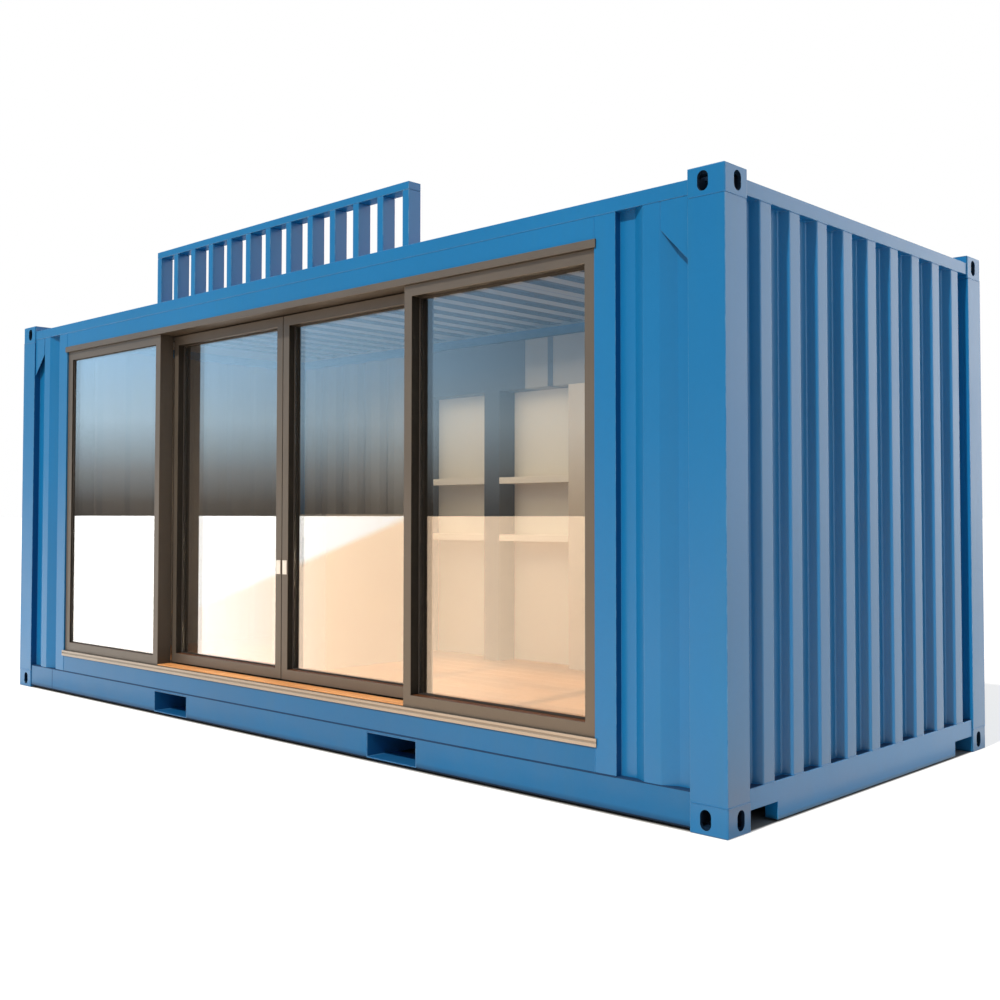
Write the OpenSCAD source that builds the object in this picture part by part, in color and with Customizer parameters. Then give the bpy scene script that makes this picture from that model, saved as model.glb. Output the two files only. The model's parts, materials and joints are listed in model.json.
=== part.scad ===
// Shipping container cabin: a steel container with a sliding glazed front and a sign frame on its roof.
// Millimetres. X runs along the long side, -Y is the glazed front, Z is up.
// The origin is on the ground under the middle of the container.

/* [Container] */
// Length over the corner castings
container_l = 6058; // [5200:1:7000]
// Width over the corner castings
container_w = 2438; // [2300:1:2700]
// Height over the corner castings
container_h = 2591; // [2500:1:2900]
// Set-back of the rails behind the faces of the castings
rail_inset = 6; // [2:0.5:12]
// Set-back of the wall sheets behind the faces of the castings
sheet_inset = 8; // [4:0.5:14]

/* [Corner castings] */
// Length of a casting along X
casting_l = 178; // [150:1:200]
// Width of a casting along Y
casting_w = 162; // [140:1:180]
// Height of a casting
casting_h = 118; // [100:1:140]
// Wall of a casting on its sides
casting_wall = 16; // [8:0.5:20]
// Wall of a casting around its lock slot
casting_cap = 28; // [16:0.5:32]
// Length of a lock slot
lock_slot_l = 124; // [100:0.5:126]
// Width of a lock slot
lock_slot_w = 63.5; // [50:0.5:68]
// Middle of a lock slot from the end of the container
slot_in_x = 102.5; // [95:0.5:106]
// Middle of a lock slot from the side of the container
slot_in_y = 89.5; // [85:0.5:95]
// Width of the holes in the sides of a casting
side_hole_w = 51; // [40:0.5:60]
// Height of the holes in the sides of a casting
side_hole_h = 80; // [62:0.5:84]
// Rounding of the casting's upright edges and of its edges away from the post
casting_r = 8; // [4:0.5:12]

/* [Posts and rails] */
// Corner post along X
post_l = 175; // [120:1:178]
// Corner post along Y
post_w = 155; // [120:1:162]
// Wall of a corner post
post_t = 6; // [4:0.5:8]
// Height of the top rails
top_rail_h = 62; // [50:1:70]
// Depth of the top rails
top_rail_d = 60; // [50:1:80]
// Wall of the top rails
top_rail_t = 4; // [3:0.5:6]
// Top of the rails below the top of the castings
top_rail_drop = 40; // [24:1:50]
// Height of the bottom side rails
side_rail_h = 145; // [135:1:155]
// Depth of the bottom side rails
side_rail_d = 48; // [40:1:70]
// Plate of the bottom side rails
side_rail_t = 4.5; // [3:0.5:6]
// Underside of the bottom side rails above the ground
side_rail_lift = 12; // [6:0.5:16]
// Height of the bottom end rails
end_rail_h = 156; // [140:1:170]
// Depth of the bottom end rails
end_rail_d = 60; // [50:1:80]
// Wall of the bottom end rails
end_rail_t = 5; // [3:0.5:8]
// Underside of the bottom end rails above the ground
end_rail_lift = 10; // [6:0.5:16]
// Length of the notch beside each bottom casting
notch_l = 205; // [120:1:300]
// Height of the notch beside each bottom casting
notch_h = 72; // [40:1:90]

/* [Fork pockets and floor] */
// Clear width of a fork pocket
pocket_w = 360; // [300:1:400]
// Plate of a fork pocket
pocket_t = 6; // [4:0.5:8]
// Distance between the middles of the fork pockets
pocket_pitch = 2050; // [1800:1:2200]
// Middle of the pockets to the right of the container's middle
pocket_shift = 50; // [-60:1:60]
// Length of the straps under the ends of a pocket
pocket_strap = 200; // [120:1:400]
// Underside of the pockets and floor beams above the ground
beam_lift = 17; // [17:0.5:24]
// Height of the floor beams
beam_h = 130; // [115:1:132]
// Flange of the floor beams
beam_flange = 45; // [40:1:60]
// Plate of the floor beams
beam_t = 4; // [3:0.5:6]
// Distance between floor beams
beam_pitch = 320; // [280:1:400]
// Plywood deck
deck_t = 28; // [18:0.5:32]
// Timber floor boards
board_t = 22; // [15:0.5:30]

/* [Wall and roof sheets] */
// Sheet of the walls and roof
sheet_t = 2; // [1.5:0.1:3]
// Width of a crest on the long sides
side_crest = 82; // [60:1:100]
// Run of a slope on the long sides
side_slope = 66; // [40:1:70]
// Depth of the long sides' corrugation
side_depth = 36; // [25:0.5:40]
// Distance between crests on the back
side_pitch = 286; // [270:1:310]
// Width of a crest on the ends
end_crest = 86; // [60:1:100]
// Run of a slope on the ends
end_slope = 20; // [14:1:40]
// Depth of the ends' corrugation
end_depth = 45; // [30:0.5:48]
// Distance between crests on the ends
end_pitch = 228; // [215:1:240]
// Width of a roof ridge
roof_crest = 91; // [70:1:110]
// Run of a roof slope
roof_slope = 18; // [12:1:30]
// Height of the roof ridges
roof_depth = 20; // [12:0.5:24]
// Distance between roof ridges
roof_pitch = 214.5; // [190:0.5:240]
// Extra flat where two roof sheets meet
roof_lap = 70; // [20:1:150]
// Number of roof sheets
roof_sheets_n = 3; // [1:1:5]
// Flat border of the roof beside the front and back rails
roof_border = 45; // [40:1:90]
// Gusset along the post at its long side
gusset_h = 257; // [200:1:320]
// Gusset along the top rail at its short side
gusset_short = 117; // [80:1:160]
// Plate of the gussets
gusset_t = 4; // [3:0.5:6]

/* [Glazed front] */
// Corrugated strip between a corner post and the steel surround
strip_w = 369; // [220:1:600]
// Steel posts beside the opening
surround_w = 115; // [80:1:120]
// Steel header between the opening and the top rail
header_h = 98; // [60:1:200]
// Steel beam between the bottom rail and the opening
sill_beam_h = 107; // [80:1:160]
// Depth of the steel surround
surround_d = 120; // [80:1:125]
// Wall of the steel surround
surround_t = 4; // [3:0.5:6]
// Set-back of the door frame behind the faces of the castings
frame_setback = 19; // [14:0.5:30]
// Depth of the door frame
frame_d = 200; // [198:1:220]
// Head of the door frame
head_h = 36; // [30:1:50]
// Sill of the door frame
sill_h = 36; // [30:1:50]
// Side plates of the door frame
jamb_t = 8; // [5:0.5:12]
// Cover lips of the head and sill past each end of the opening
lip_over = 12; // [6:0.5:20]
// Thickness of the hardwood threshold
threshold_t = 6; // [4:0.5:10]

/* [Panels and doors] */
// Clear width between the two fixed panels
doorway_w = 2300; // [2100:1:2360]
// Depth of the panel frames
panel_d = 92; // [80:0.5:93]
// Face of the upright members
stile_w = 54; // [45:0.5:65]
// Face of the level members
rail_h = 57; // [50:0.5:70]
// Gap between the two doors when closed
meeting_gap = 6; // [5:0.5:10]
// Lap of each door behind its fixed panel
door_lap = 10; // [5:0.5:30]
// Gap between the fixed panels and the doors
running_gap = 10; // [9:0.5:12]
// Gap between the sill and the doors
door_lift = 12; // [8:0.5:14]
// Gap between the head and the doors
door_head_gap = 6; // [5:0.5:10]
// Thickness of the glass units
glass_t = 24; // [16:0.5:32]
// Set-back of the doors' glass from the front of their frames
door_glass_setback = 40; // [20:0.5:50]
// Set-back of the glass in the left fixed panel
left_glass_setback = 14; // [10:0.5:50]
// Set-back of the glass in the right fixed panel
right_glass_setback = 54; // [20:0.5:56]
// Edge of the glass held in the frame
glass_bite = 14; // [8:0.5:18]
// Play of the glass in its groove
glass_play = 0.3; // [0.1:0.1:0.5]
// Width of the bottom track
track_w = 8; // [6:0.5:10]
// Height of the bottom track
track_h = 10; // [6:0.5:12]
// Width of the top guide
guide_w = 6; // [4:0.5:10]
// Reach of the top guide below the head
guide_h = 20; // [14:0.5:22]
// Width of the grooves for track and guide
groove_w = 24; // [20:0.5:30]
// Depth of the grooves for track and guide
groove_h = 24; // [22:0.5:26]
// Radius of the rollers
roller_r = 10; // [8:0.5:11]
// Width of the rollers
roller_w = 10; // [6:0.5:12]
// Radius of the roller axles
axle_r = 3; // [2:0.5:4]
// Rollers from the edges of a door
roller_in = 130; // [100:1:300]
// Play between the rollers and the track
roller_play = 0.3; // [0.1:0.1:0.5]
// Width of the lock plates
lock_w = 38; // [30:1:44]
// Height of the lock plates
lock_h = 78; // [60:1:120]
// Thickness of the lock plates
lock_t = 2.5; // [1.5:0.5:3]
// Radius of the lock barrels
barrel_r = 9; // [7:0.5:12]
// Reach of the lock barrels past the plates
barrel_out = 1.5; // [1:0.5:2]
// Middle of the lock plates above the bottom of the doors
lock_rise = 624; // [500:1:900]
// Length of the pull handles
pull_l = 165; // [140:1:500]
// Radius of the pull handles
pull_r = 9; // [6:0.5:12]
// Middle of a pull handle behind its door
pull_out = 40; // [30:1:60]
// Radius of the pull handle's studs
stud_r = 7; // [4:0.5:8]

/* [Roof sign frame] */
// Width of the sign frame
sign_w = 2370; // [1500:1:3000]
// Height of the sign frame over the rail
sign_h = 320; // [200:1:500]
// Depth of the sign frame
sign_d = 80; // [60:1:85]
// Set-back of the sign frame behind the faces of the castings
sign_setback = 14; // [8:1:20]
// Height of the bar along its top
sign_bar_h = 40; // [20:1:60]
// Width of its upright fins
sign_fin_w = 46; // [20:1:70]
// Number of upright fins
sign_fins_n = 13; // [5:1:17]

/* [Shop fittings] */
// Right face of the counter from the container's middle
counter_x = -830; // [-1200:1:-400]
// Width of the counter along X
counter_w = 600; // [500:1:800]
// Passage between the counter and the display
counter_gap = 195; // [100:1:300]
// Length of the counter along Y
counter_l = 950; // [700:1:1000]
// Height of the counter
counter_h = 1035; // [900:1:1100]
// Boards of the counter
counter_t = 30; // [18:1:40]
// Middle of the display from the container's middle
display_x = -408; // [-600:1:200]
// Distance between the display's posts
display_bay = 800; // [600:1:1000]
// Width of the display's posts
display_post_w = 150; // [80:1:180]
// Depth of the display
display_d = 160; // [120:1:200]
// Back panel of the display
display_back_t = 18; // [12:1:25]
// Top of the display's valance below the underside of the top rails
valance_drop = 39; // [10:1:120]
// Height of the display's valance
valance_h = 340; // [200:1:400]
// Thickness of the display's shelves
shelf_t = 45; // [25:1:60]
// Lower shelf above the floor
shelf_rise = 848; // [600:1:900]
// Upper shelf above the lower one
shelf_step = 405; // [300:1:600]

/* [Hidden] */
$fn = 48;
// Overshoot of cutting shapes
cut = 1;
// Play between pieces that lie side by side
seat_play = 0.3;

half_l = container_l / 2;
half_w = container_w / 2;
rail_x = half_l - rail_inset;
rail_y = half_w - rail_inset;
sheet_x = half_l - sheet_inset;
sheet_y = half_w - sheet_inset;
// Inner faces of castings and posts
casting_x = half_l - casting_l;
casting_y = half_w - casting_w;
slot_x = half_l - slot_in_x;
slot_y = half_w - slot_in_y;
post_x = half_l - post_l;
post_y = half_w - post_w;

top_rail_high = container_h - top_rail_drop;
top_rail_low = top_rail_high - top_rail_h;
side_rail_high = side_rail_lift + side_rail_h;
end_rail_high = end_rail_lift + end_rail_h;
deck_low = beam_lift + beam_h;
floor_low = deck_low + deck_t;
floor_high = floor_low + board_t;

surround_x = post_x - strip_w;
opening_x = surround_x - surround_w;
opening_low = side_rail_high + sill_beam_h;
opening_high = top_rail_low - header_h;
surround_front = -sheet_y;
surround_back = surround_front + surround_d;
frame_front = -half_w + frame_setback;
frame_back = frame_front + frame_d;
track_low = opening_low + sill_h;
head_low = opening_high - head_h;

fixed_in = doorway_w / 2;
fixed_out = opening_x - jamb_t;
door_front = frame_front + panel_d + running_gap;
door_back = door_front + panel_d;
door_in = meeting_gap / 2;
door_out = fixed_in + door_lap;
door_low = track_low + door_lift;
door_high = head_low - door_head_gap;
door_mid_y = (door_front + door_back) / 2;
lock_x = door_in + stile_w / 2;
lock_z = door_low + lock_rise;

pocket_xs = [pocket_shift - pocket_pitch / 2, pocket_shift + pocket_pitch / 2];
pocket_out_w = pocket_w + 2 * pocket_t;
sign_front = -half_w + sign_setback;
display_wall_y = sheet_y - side_depth - sheet_t;
display_back_y = display_wall_y - display_back_t;
display_front_y = display_back_y - display_d;
display_half = display_bay + display_post_w / 2;
valance_high = top_rail_low - valance_drop;
valance_low = valance_high - valance_h;
counter_back = display_front_y - counter_gap;
counter_front = counter_back - counter_l;

steel = "steelblue";
dark_steel = "midnightblue";
bronze = "#7a6e62";
timber = "peru";
clear = [0.75, 0.85, 0.9, 0.35];
white_board = "ivory";

// Box from its low corner to its high corner
module span(low, high) {
  translate(low) cube(high - low);
}

// Children in all four corners, drawn for the +X +Y corner
module at_corners() {
  for (mx = [0, 1], my = [0, 1]) {
    mirror([mx, 0, 0]) mirror([0, my, 0]) children();
  }
}

// Children as drawn and mirrored to the other side of X = 0
module both_sides() {
  children();
  mirror([1, 0, 0]) children();
}

// Slot with round ends along X, centred on the origin
module slot_2d(length, width) {
  run = length - width;
  square([run, width], center = true);
  for (side = [-1, 1]) {
    translate([side * run / 2, 0]) circle(d = width);
  }
}

// Open-ended box tube along X, from low corner to high corner
module tube_x(low, high, wall) {
  difference() {
    span(low, high);
    span(low + [-cut, wall, wall], high + [cut, -wall, -wall]);
  }
}

// Open-ended box tube along Z
module tube_z(low, high, wall) {
  difference() {
    span(low, high);
    span(low + [wall, wall, -cut], high + [-wall, -wall, cut]);
  }
}

// Rectangle with its low corner on the origin and all corners rounded, or only the two low ones
module rounded_2d(width, height, radius, low_only = false) {
  square_top = low_only ? height : height - radius;
  translate([0, radius]) square([width, square_top - radius]);
  translate([radius, 0]) square([width - 2 * radius, height]);
  for (x = [radius, width - radius], y = low_only ? [radius] : [radius, height - radius]) {
    translate([x, y]) circle(radius);
  }
}

// Outside of the +X +Y corner's casting, square where the post stands on it
module casting_block() {
  translate([casting_x, casting_y, 0]) intersection() {
    linear_extrude(casting_h) rounded_2d(casting_l, casting_w, casting_r);
    translate([0, casting_w, 0]) rotate([90, 0, 0])
      linear_extrude(casting_w) rounded_2d(casting_l, casting_h, casting_r, true);
    rotate([90, 0, 90]) linear_extrude(casting_l) rounded_2d(casting_w, casting_h, casting_r, true);
  }
}

// Corner casting of the +X +Y corner, standing on the ground with its lock slot in the underside
module casting() {
  difference() {
    casting_block();
    span([casting_x + casting_wall, casting_y + casting_wall, casting_cap],
         [half_l - casting_wall, half_w - casting_wall, casting_h - casting_wall]);
    translate([slot_x, slot_y, -cut])
      linear_extrude(casting_cap + 2 * cut) slot_2d(lock_slot_l, lock_slot_w);
    translate([slot_x, half_w + cut, casting_h / 2]) rotate([90, 0, 0])
      linear_extrude(casting_wall + 2 * cut) rotate(90) slot_2d(side_hole_h, side_hole_w);
    translate([half_l - casting_wall - cut, slot_y, casting_h / 2]) rotate([90, 0, 90])
      linear_extrude(casting_wall + 2 * cut) rotate(90) slot_2d(side_hole_h, side_hole_w);
  }
}

// Crests that fit between -reach and reach
function crest_count(reach, pitch, crest, slope) = 1 + floor((2 * reach - crest - 2 * slope) / pitch);

// One surface of a corrugated sheet: crests of the given width above a base line, centred on zero.
// narrow takes that much off each side of a crest, and drop lowers the whole line.
function wave_line(half, count, pitch, crest, slope, depth, narrow, drop) = concat(
  [[-half, -drop]],
  [for (i = [0 : count - 1])
    let (middle = (i - (count - 1) / 2) * pitch, flat = crest / 2 - narrow)
    each [[middle - flat - slope, -drop], [middle - flat, depth - drop],
          [middle + flat, depth - drop], [middle + flat + slope, -drop]]],
  [[half, -drop]]
);

// Offset of a bend between a flat and a slope when the sheet gets its thickness
function bend_shift(slope, depth) = sheet_t * tan(atan2(depth, slope) / 2);

function reversed(list) = [for (i = [len(list) - 1 : -1 : 0]) list[i]];

// Section of a corrugated sheet, with its crests towards +Y and its outer base line on Y = 0
module wave_sheet_2d(half, count, pitch, crest, slope, depth) {
  shift = bend_shift(slope, depth);
  polygon(concat(
    wave_line(half, count, pitch, crest, slope, depth, 0, 0),
    reversed(wave_line(half, count, pitch, crest, slope, depth, shift, sheet_t))
  ));
}

module bottom_castings() {
  color(steel) at_corners() casting();
}

module top_castings() {
  color(steel) at_corners() translate([0, 0, container_h]) mirror([0, 0, 1]) casting();
}

// Space of the top castings, which the sheets and gussets leave free
module top_casting_space() {
  at_corners() span([casting_x, casting_y, container_h - casting_h], [half_l, half_w, container_h]);
}

// Corner post of the +X +Y corner
module post() {
  tube_z([post_x, post_y, casting_h], [half_l, half_w, container_h - casting_h], post_t);
}

module front_posts() {
  color(steel) both_sides() mirror([0, 1, 0]) post();
}

module back_posts() {
  color(steel) both_sides() post();
}

// Top side rail of the back
module top_rail() {
  tube_x([-casting_x, rail_y - top_rail_d, top_rail_low], [casting_x, rail_y, top_rail_high], top_rail_t);
}

module front_top_rail() {
  color(steel) mirror([0, 1, 0]) top_rail();
}

module back_top_rail() {
  color(steel) top_rail();
}

module end_top_rails() {
  color(steel) both_sides() difference() {
    span([rail_x - top_rail_d, -casting_y, top_rail_low], [rail_x, casting_y, top_rail_high]);
    span([rail_x - top_rail_d + top_rail_t, -casting_y - cut, top_rail_low + top_rail_t],
         [rail_x - top_rail_t, casting_y + cut, top_rail_high - top_rail_t]);
  }
}

// Bottom side rail of the back: a channel open to the inside, cut away at the fork pockets
module side_rail() {
  difference() {
    span([-casting_x, rail_y - side_rail_d, side_rail_lift], [casting_x, rail_y, side_rail_high]);
    span([-casting_x - cut, rail_y - side_rail_d - cut, side_rail_lift + side_rail_t],
         [casting_x + cut, rail_y - side_rail_t, side_rail_high - side_rail_t]);
    for (x = pocket_xs) {
      span([x - pocket_out_w / 2, rail_y - side_rail_d - cut, side_rail_lift - cut],
           [x + pocket_out_w / 2, rail_y + cut, deck_low]);
    }
  }
}

module front_bottom_rail() {
  color(steel) mirror([0, 1, 0]) side_rail();
}

module back_bottom_rail() {
  color(steel) side_rail();
}

// Outline of a bottom end rail with its notches; inset shrinks it by a wall and opens its ends
module end_rail_2d(inset) {
  reach = casting_y + (inset > 0 ? cut : 0);
  lower = casting_y - notch_l - inset;
  translate([-reach, end_rail_lift + notch_h + inset])
    square([2 * reach, end_rail_h - notch_h - 2 * inset]);
  translate([-lower, end_rail_lift + inset]) square([2 * lower, end_rail_h - 2 * inset]);
}

module end_bottom_rails() {
  color(steel) both_sides() translate([rail_x - end_rail_d, 0, 0]) rotate([90, 0, 90]) difference() {
    linear_extrude(end_rail_d) end_rail_2d(0);
    translate([0, 0, end_rail_t]) linear_extrude(end_rail_d - 2 * end_rail_t) end_rail_2d(end_rail_t);
  }
}

module fork_pockets() {
  color(dark_steel) for (x = pocket_xs) {
    translate([x, 0, 0]) difference() {
      span([-pocket_out_w / 2, -rail_y, beam_lift], [pocket_out_w / 2, rail_y, deck_low]);
      span([-pocket_w / 2, -rail_y - cut, beam_lift + pocket_t],
           [pocket_w / 2, rail_y + cut, deck_low - pocket_t]);
      span([-pocket_w / 2, -rail_y + pocket_strap, beam_lift - cut],
           [pocket_w / 2, rail_y - pocket_strap, beam_lift + pocket_t + cut]);
    }
  }
}

// Floor beam: a channel from rail to rail, its web at X = 0
module floor_beam() {
  reach = rail_y - side_rail_t;
  difference() {
    span([0, -reach, beam_lift], [beam_flange, reach, deck_low]);
    span([beam_t, -reach - cut, beam_lift + beam_t], [beam_flange + cut, reach + cut, deck_low - beam_t]);
  }
}

// Floor beams stand on both sides of the pockets and leave them free
module cross_members() {
  count = floor((casting_x - beam_flange) / beam_pitch);
  free = pocket_out_w / 2 + beam_flange;
  color(dark_steel) for (i = [-count : count]) {
    x = i * beam_pitch;
    if (abs(x - pocket_xs[0]) > free && abs(x - pocket_xs[1]) > free) {
      translate([x, 0, 0]) floor_beam();
    }
  }
}

// Floor between the walls, set back behind the steel surround and cut out around the corner castings
module floor_2d() {
  reach_x = rail_x - end_rail_d;
  reach_y = rail_y - side_rail_d;
  difference() {
    translate([-reach_x, -reach_y]) square([2 * reach_x, 2 * reach_y]);
    translate([-surround_x, -reach_y - cut]) square([2 * surround_x, reach_y + cut + surround_back]);
    at_corners() translate([casting_x, casting_y]) square([casting_l, casting_w]);
  }
}

module floor_deck() {
  color(timber) translate([0, 0, deck_low]) linear_extrude(deck_t) floor_2d();
}

module floor_boards() {
  color(timber) translate([0, 0, floor_low]) linear_extrude(board_t) floor_2d();
}

// Section of a roof ridge with half its top width given; its foot reaches a cut below the base level
module ridge_2d(half) {
  foot = half + roof_slope;
  polygon([[-foot, -cut], [-foot, 0], [-half, roof_depth], [half, roof_depth], [foot, 0], [foot, -cut]]);
}

// Ridges of the roof as solids, as many on each roof sheet as fit between the castings;
// narrow and drop as in wave_line
module roof_ridges(narrow, drop) {
  reach_y = rail_y - top_rail_d - roof_border - narrow;
  count = floor((2 * casting_x / roof_sheets_n - roof_lap) / roof_pitch);
  sheet_l = count * roof_pitch + roof_lap;
  for (sheet = [0 : roof_sheets_n - 1], ridge = [0 : count - 1]) {
    x = (sheet - (roof_sheets_n - 1) / 2) * sheet_l + (ridge - (count - 1) / 2) * roof_pitch;
    translate([x, 0, -drop]) intersection() {
      rotate([90, 0, 0]) linear_extrude(2 * reach_y, center = true) ridge_2d(roof_crest / 2 - narrow);
      rotate([90, 0, 90]) linear_extrude(roof_pitch, center = true) ridge_2d(reach_y - roof_slope);
    }
  }
}

// Pressed roof sheet with closed ridges across the container, flush with the tops of the rails
module roof() {
  reach_x = rail_x - top_rail_d;
  reach_y = rail_y - top_rail_d;
  shift = bend_shift(roof_slope, roof_depth);
  color(steel) difference() {
    translate([0, 0, top_rail_high]) difference() {
      union() {
        translate([-reach_x, -reach_y, -sheet_t]) cube([2 * reach_x, 2 * reach_y, sheet_t]);
        roof_ridges(0, 0);
      }
      roof_ridges(shift, sheet_t);
    }
    top_casting_space();
  }
}

module back_wall() {
  count = crest_count(post_x, side_pitch, side_crest, side_slope);
  color(steel) difference() {
    translate([0, sheet_y - side_depth, side_rail_high])
      linear_extrude(top_rail_low - side_rail_high)
        wave_sheet_2d(post_x, count, side_pitch, side_crest, side_slope, side_depth);
    top_casting_space();
  }
}

// Corrugated end of the +X side, its crests outwards
module end_wall() {
  count = crest_count(post_y, end_pitch, end_crest, end_slope);
  difference() {
    translate([sheet_x - end_depth, 0, end_rail_high]) rotate(-90)
      linear_extrude(top_rail_low - end_rail_high)
        wave_sheet_2d(post_y, count, end_pitch, end_crest, end_slope, end_depth);
    top_casting_space();
  }
}

module right_wall() {
  color(steel) end_wall();
}

module left_wall() {
  color(steel) mirror([1, 0, 0]) end_wall();
}

// Corrugated strip of the front between the steel surround and the +X post
module front_panel() {
  middle = (surround_x + post_x) / 2;
  difference() {
    translate([middle, -sheet_y + side_depth, side_rail_high]) mirror([0, 1, 0])
      linear_extrude(top_rail_low - side_rail_high)
        wave_sheet_2d(strip_w / 2, 1, side_pitch, side_crest, side_slope, side_depth);
    top_casting_space();
  }
}

module front_right_panel() {
  color(steel) front_panel();
}

module front_left_panel() {
  color(steel) mirror([1, 0, 0]) front_panel();
}

// Flush plates in the front's upper corners, over the last valley beside each post
module top_gussets() {
  crest_edge = (surround_x + post_x + side_crest) / 2;
  low_x = crest_edge + gusset_t * side_slope / side_depth + seat_play;
  color(steel) both_sides() difference() {
    translate([0, -sheet_y + gusset_t, top_rail_low]) rotate([90, 0, 0]) linear_extrude(gusset_t)
      polygon([[post_x, 0], [low_x, 0], [low_x, -gusset_short], [post_x, -gusset_h]]);
    top_casting_space();
  }
}

// Beams over and under the opening, closed at their ends by the jamb posts
module header_beam() {
  color(steel) tube_x([-opening_x, surround_front, opening_high],
                      [opening_x, surround_back, top_rail_low], surround_t);
}

module sill_beam() {
  color(steel) tube_x([-opening_x, surround_front, side_rail_high],
                      [opening_x, surround_back, opening_low], surround_t);
}

module jamb_posts() {
  color(steel) both_sides() tube_z([opening_x, surround_front, side_rail_high],
                                   [surround_x, surround_back, top_rail_low], surround_t);
}

// Cover lip along the front of the head or sill
module cover_lip(low, high) {
  span([-opening_x - lip_over, -half_w, low], [opening_x + lip_over, surround_front, high]);
}

// Head of the door frame, with its cover lip and the guide that the doors run on
module door_head() {
  color(bronze) {
    cover_lip(head_low, opening_high);
    span([-opening_x, surround_front, head_low], [opening_x, frame_back, opening_high]);
    span([-fixed_out, door_mid_y - guide_w / 2, head_low - guide_h],
         [fixed_out, door_mid_y + guide_w / 2, head_low]);
  }
}

// Sill of the door frame, with its cover lip and the track for the rollers
module door_sill() {
  color(bronze) {
    cover_lip(opening_low, track_low);
    span([-opening_x, surround_front, opening_low], [opening_x, frame_back, track_low]);
    span([-fixed_out, door_mid_y - track_w / 2, track_low],
         [fixed_out, door_mid_y + track_w / 2, track_low + track_h]);
  }
}

module door_jambs() {
  color(bronze) both_sides() span([fixed_out, frame_front, track_low], [opening_x, frame_back, head_low]);
}

// Hardwood board on the sill in front of the doors, between the fixed panels
module threshold_board() {
  color(timber) span([-fixed_in, frame_front, track_low],
                     [fixed_in, frame_front + panel_d, track_low + threshold_t]);
}

// Glazed panel frame from low corner to high corner, with a groove for its glass
module panel_frame(low, high, setback) {
  face = [stile_w, 0, rail_h];
  seat = [glass_bite + glass_play, 0, glass_bite + glass_play];
  glass_low = low.y + setback - glass_play;
  glass_high = glass_low + glass_t + 2 * glass_play;
  difference() {
    span(low, high);
    span(low + face + [0, -cut, 0], high - face + [0, cut, 0]);
    span([low.x + face.x - seat.x, glass_low, low.z + face.z - seat.z],
         [high.x - face.x + seat.x, glass_high, high.z - face.z + seat.z]);
  }
}

// Glass unit of a panel frame with the same corners
module panel_glass(low, high, setback) {
  face = [stile_w - glass_bite, 0, rail_h - glass_bite];
  span([low.x + face.x, low.y + setback, low.z + face.z],
       [high.x - face.x, low.y + setback + glass_t, high.z - face.z]);
}

fixed_low = [fixed_in, frame_front, track_low];
fixed_high = [fixed_out, frame_front + panel_d, head_low];
door_low_corner = [door_in, door_front, door_low];
door_high_corner = [door_out, door_back, door_high];

module right_fixed_frame() {
  color(bronze) panel_frame(fixed_low, fixed_high, right_glass_setback);
}

module left_fixed_frame() {
  color(bronze) mirror([1, 0, 0]) panel_frame(fixed_low, fixed_high, left_glass_setback);
}

module fixed_glass() {
  color(clear) {
    panel_glass(fixed_low, fixed_high, right_glass_setback);
    mirror([1, 0, 0]) panel_glass(fixed_low, fixed_high, left_glass_setback);
  }
}

// Frame of the right door, with grooves along its edges for track and guide
module door_frame() {
  difference() {
    panel_frame(door_low_corner, door_high_corner, door_glass_setback);
    span([door_in - cut, door_mid_y - groove_w / 2, door_low - cut],
         [door_out + cut, door_mid_y + groove_w / 2, door_low + groove_h]);
    span([door_in - cut, door_mid_y - groove_w / 2, door_high - groove_h],
         [door_out + cut, door_mid_y + groove_w / 2, door_high + cut]);
  }
}

// Pull handle on the inside of the right door's meeting stile, from the lock upwards
module door_handle() {
  translate([lock_x, door_back + pull_out, lock_z]) cylinder(r = pull_r, h = pull_l);
  for (rise = [lock_h / 2 + 2 * stud_r, pull_l - 3 * pull_r]) {
    translate([lock_x, door_back, lock_z + rise]) rotate([-90, 0, 0]) cylinder(r = stud_r, h = pull_out);
  }
}

// Lock plates of the right door, with a barrel on the outer one
module door_lock() {
  span([lock_x - lock_w / 2, door_front - lock_t, lock_z - lock_h / 2],
       [lock_x + lock_w / 2, door_front, lock_z + lock_h / 2]);
  translate([lock_x, door_front - lock_t - barrel_out, lock_z]) rotate([-90, 0, 0])
    cylinder(r = barrel_r, h = barrel_out);
  span([lock_x - lock_w / 2, door_back, lock_z - lock_h / 2],
       [lock_x + lock_w / 2, door_back + lock_t, lock_z + lock_h / 2]);
}

// Rollers of the right door on their axles, inside the bottom groove
module door_rollers() {
  roller_z = track_low + track_h + roller_play + roller_r;
  for (x = [door_in + roller_in, door_out - roller_in]) {
    translate([x, door_mid_y, roller_z]) rotate([90, 0, 0]) {
      cylinder(r = roller_r, h = roller_w, center = true);
      cylinder(r = axle_r, h = groove_w, center = true);
    }
  }
}

module right_door_frame() {
  color(bronze) door_frame();
}

module right_door_glass() {
  color(clear) panel_glass(door_low_corner, door_high_corner, door_glass_setback);
}

module right_door_handle() {
  color("dimgray") door_handle();
}

module right_door_lock() {
  color("silver") door_lock();
}

module right_door_rollers() {
  color("dimgray") door_rollers();
}

module left_door_frame() {
  color(bronze) mirror([1, 0, 0]) door_frame();
}

module left_door_glass() {
  color(clear) mirror([1, 0, 0]) panel_glass(door_low_corner, door_high_corner, door_glass_setback);
}

module left_door_handle() {
  color("dimgray") mirror([1, 0, 0]) door_handle();
}

module left_door_lock() {
  color("silver") mirror([1, 0, 0]) door_lock();
}

module left_door_rollers() {
  color("dimgray") mirror([1, 0, 0]) door_rollers();
}

module sign_bar() {
  top = top_rail_high + sign_h;
  color(steel) span([-sign_w / 2, sign_front, top - sign_bar_h], [sign_w / 2, sign_front + sign_d, top]);
}

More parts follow.
